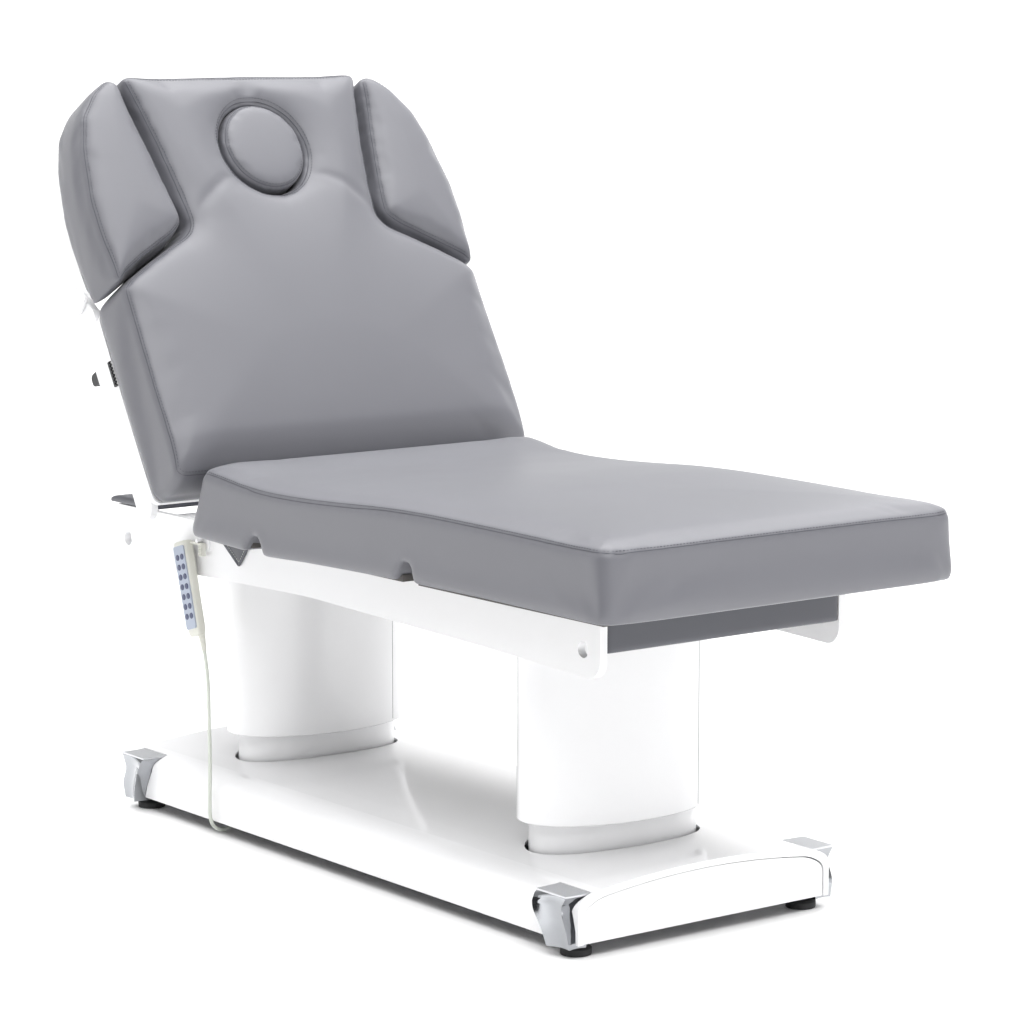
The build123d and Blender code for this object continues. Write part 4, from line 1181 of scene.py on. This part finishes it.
@dataclass
class Studio:
    """Pale floor, soft lights and the camera."""

    eye: Point3 = (-3.6005, -3.9938 + SHIFT_Y, 1.5105)
    gaze: Point3 = (0.5997, 0.7872, -0.1439)
    field_of_view: float = math.radians(17.02)
    floor_reach: float = 30.0
    sky_strength: float = 2.7
    sky_levels: tuple[tuple[float, float], ...] = ((0.13, 0.5), (0.22, 0.15), (0.55, 0.18), (0.80, 1.0))

    def build(self) -> None:
        """Makes the studio."""
        scene = bpy.context.scene
        scene.view_settings.view_transform = "Standard"
        far = self.floor_reach
        floor = mesh_object("studio_floor", [(-far, -far, 0), (far, -far, 0), (far, far, 0),
                                             (-far, far, 0)], [(0, 1, 2, 3)])
        pale = Graph("studio_floor")
        pale.set(Base_Color=(0.93, 0.93, 0.93, 1.0), Roughness=0.9)
        floor.data.materials.append(pale.material)
        self.sky()
        self.card("dark_card", (-2.7, -0.3 + SHIFT_Y, 0.0), 3.4, 1.25, math.radians(96))
        self.panel("key", (-1.6, -2.4, 3.4), (2.0, 1.2), 48)
        self.panel("top", (0.4, 0.2, 3.6), (3.0, 3.0), 68)
        self.panel("rim", (3.4, 1.4, 2.2), (1.6, 2.4), 24)
        eye = bpy.data.cameras.new("camera")
        eye.sensor_width = 36.0
        eye.angle = self.field_of_view
        eye.clip_end = 100.0
        camera = bpy.data.objects.new("camera", eye)
        camera.location = self.eye
        camera.rotation_euler = Vector(self.gaze).to_track_quat("-Z", "Y").to_euler()
        scene.collection.objects.link(camera)
        scene.camera = camera

    def sky(self) -> None:
        """White at the horizon, dimmer above it and bright overhead, so upright faces stay deep."""
        world = bpy.data.worlds.new("studio")
        bpy.context.scene.world = world
        world.use_nodes = True
        nodes, links = world.node_tree.nodes, world.node_tree.links
        where = nodes.new("ShaderNodeTexCoord")
        parts = nodes.new("ShaderNodeSeparateXYZ")
        ramp = nodes.new("ShaderNodeValToRGB")
        stops = ramp.color_ramp.elements
        stops[0].position, stops[0].color = 0.0, (0.5, 0.5, 0.5, 1.0)
        stops[1].position, stops[1].color = 1.0, (1.0, 1.0, 1.0, 1.0)
        for place, level in self.sky_levels:
            stop = stops.new(place)
            stop.color = (level, level, level, 1.0)
        links.new(where.outputs["Generated"], parts.inputs[0])
        links.new(parts.outputs["Z"], ramp.inputs[0])
        links.new(ramp.outputs[0], nodes["Background"].inputs[0])
        nodes["Background"].inputs[1].default_value = self.sky_strength

    def card(self, name: str, where: Point3, wide: float, high: float, turn: float) -> None:
        """Args: name; the middle of its foot; wide and high; turn about the upright."""
        c, s = math.cos(turn) * wide / 2, math.sin(turn) * wide / 2
        x, y, z = where
        corners = [(x - c, y - s, z), (x + c, y + s, z), (x + c, y + s, z + high),
                   (x - c, y - s, z + high)]
        board = mesh_object(name, corners, [(0, 1, 2, 3)])
        dark = Graph(name)
        dark.set(Base_Color=(0.02, 0.02, 0.02, 1.0), Roughness=0.9)
        board.data.materials.append(dark.material)
        board.visible_camera = False

    def panel(self, name: str, where: Point3, size: Point2, power: float) -> None:
        """Args: name; where it hangs, aimed at the bed; size; power in watts."""
        lamp = bpy.data.lights.new(name, "AREA")
        lamp.shape = "RECTANGLE"
        lamp.size, lamp.size_y = size
        lamp.energy = power
        obj = bpy.data.objects.new(name, lamp)
        obj.location = where
        obj.rotation_euler = (Vector((0, 0, 0.5)) - Vector(where)).to_track_quat("-Z", "Y").to_euler()
        bpy.context.scene.collection.objects.link(obj)


def main() -> None:
    """Builds the studio, the lead, the solids' finishes and every soft and moulded piece."""
    logging.basicConfig(level=logging.INFO, format="%(name)s: %(message)s")
    Studio().build()
    finishes = Finishes()
    for builder in (Handset(finishes), CarriedOver(finishes), Base(finishes), Seat(finishes),
                    Backrest(finishes)):
        builder.build()
        LOG.info("built %s", type(builder).__name__)
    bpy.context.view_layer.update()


if __name__ == "__main__":
    main()
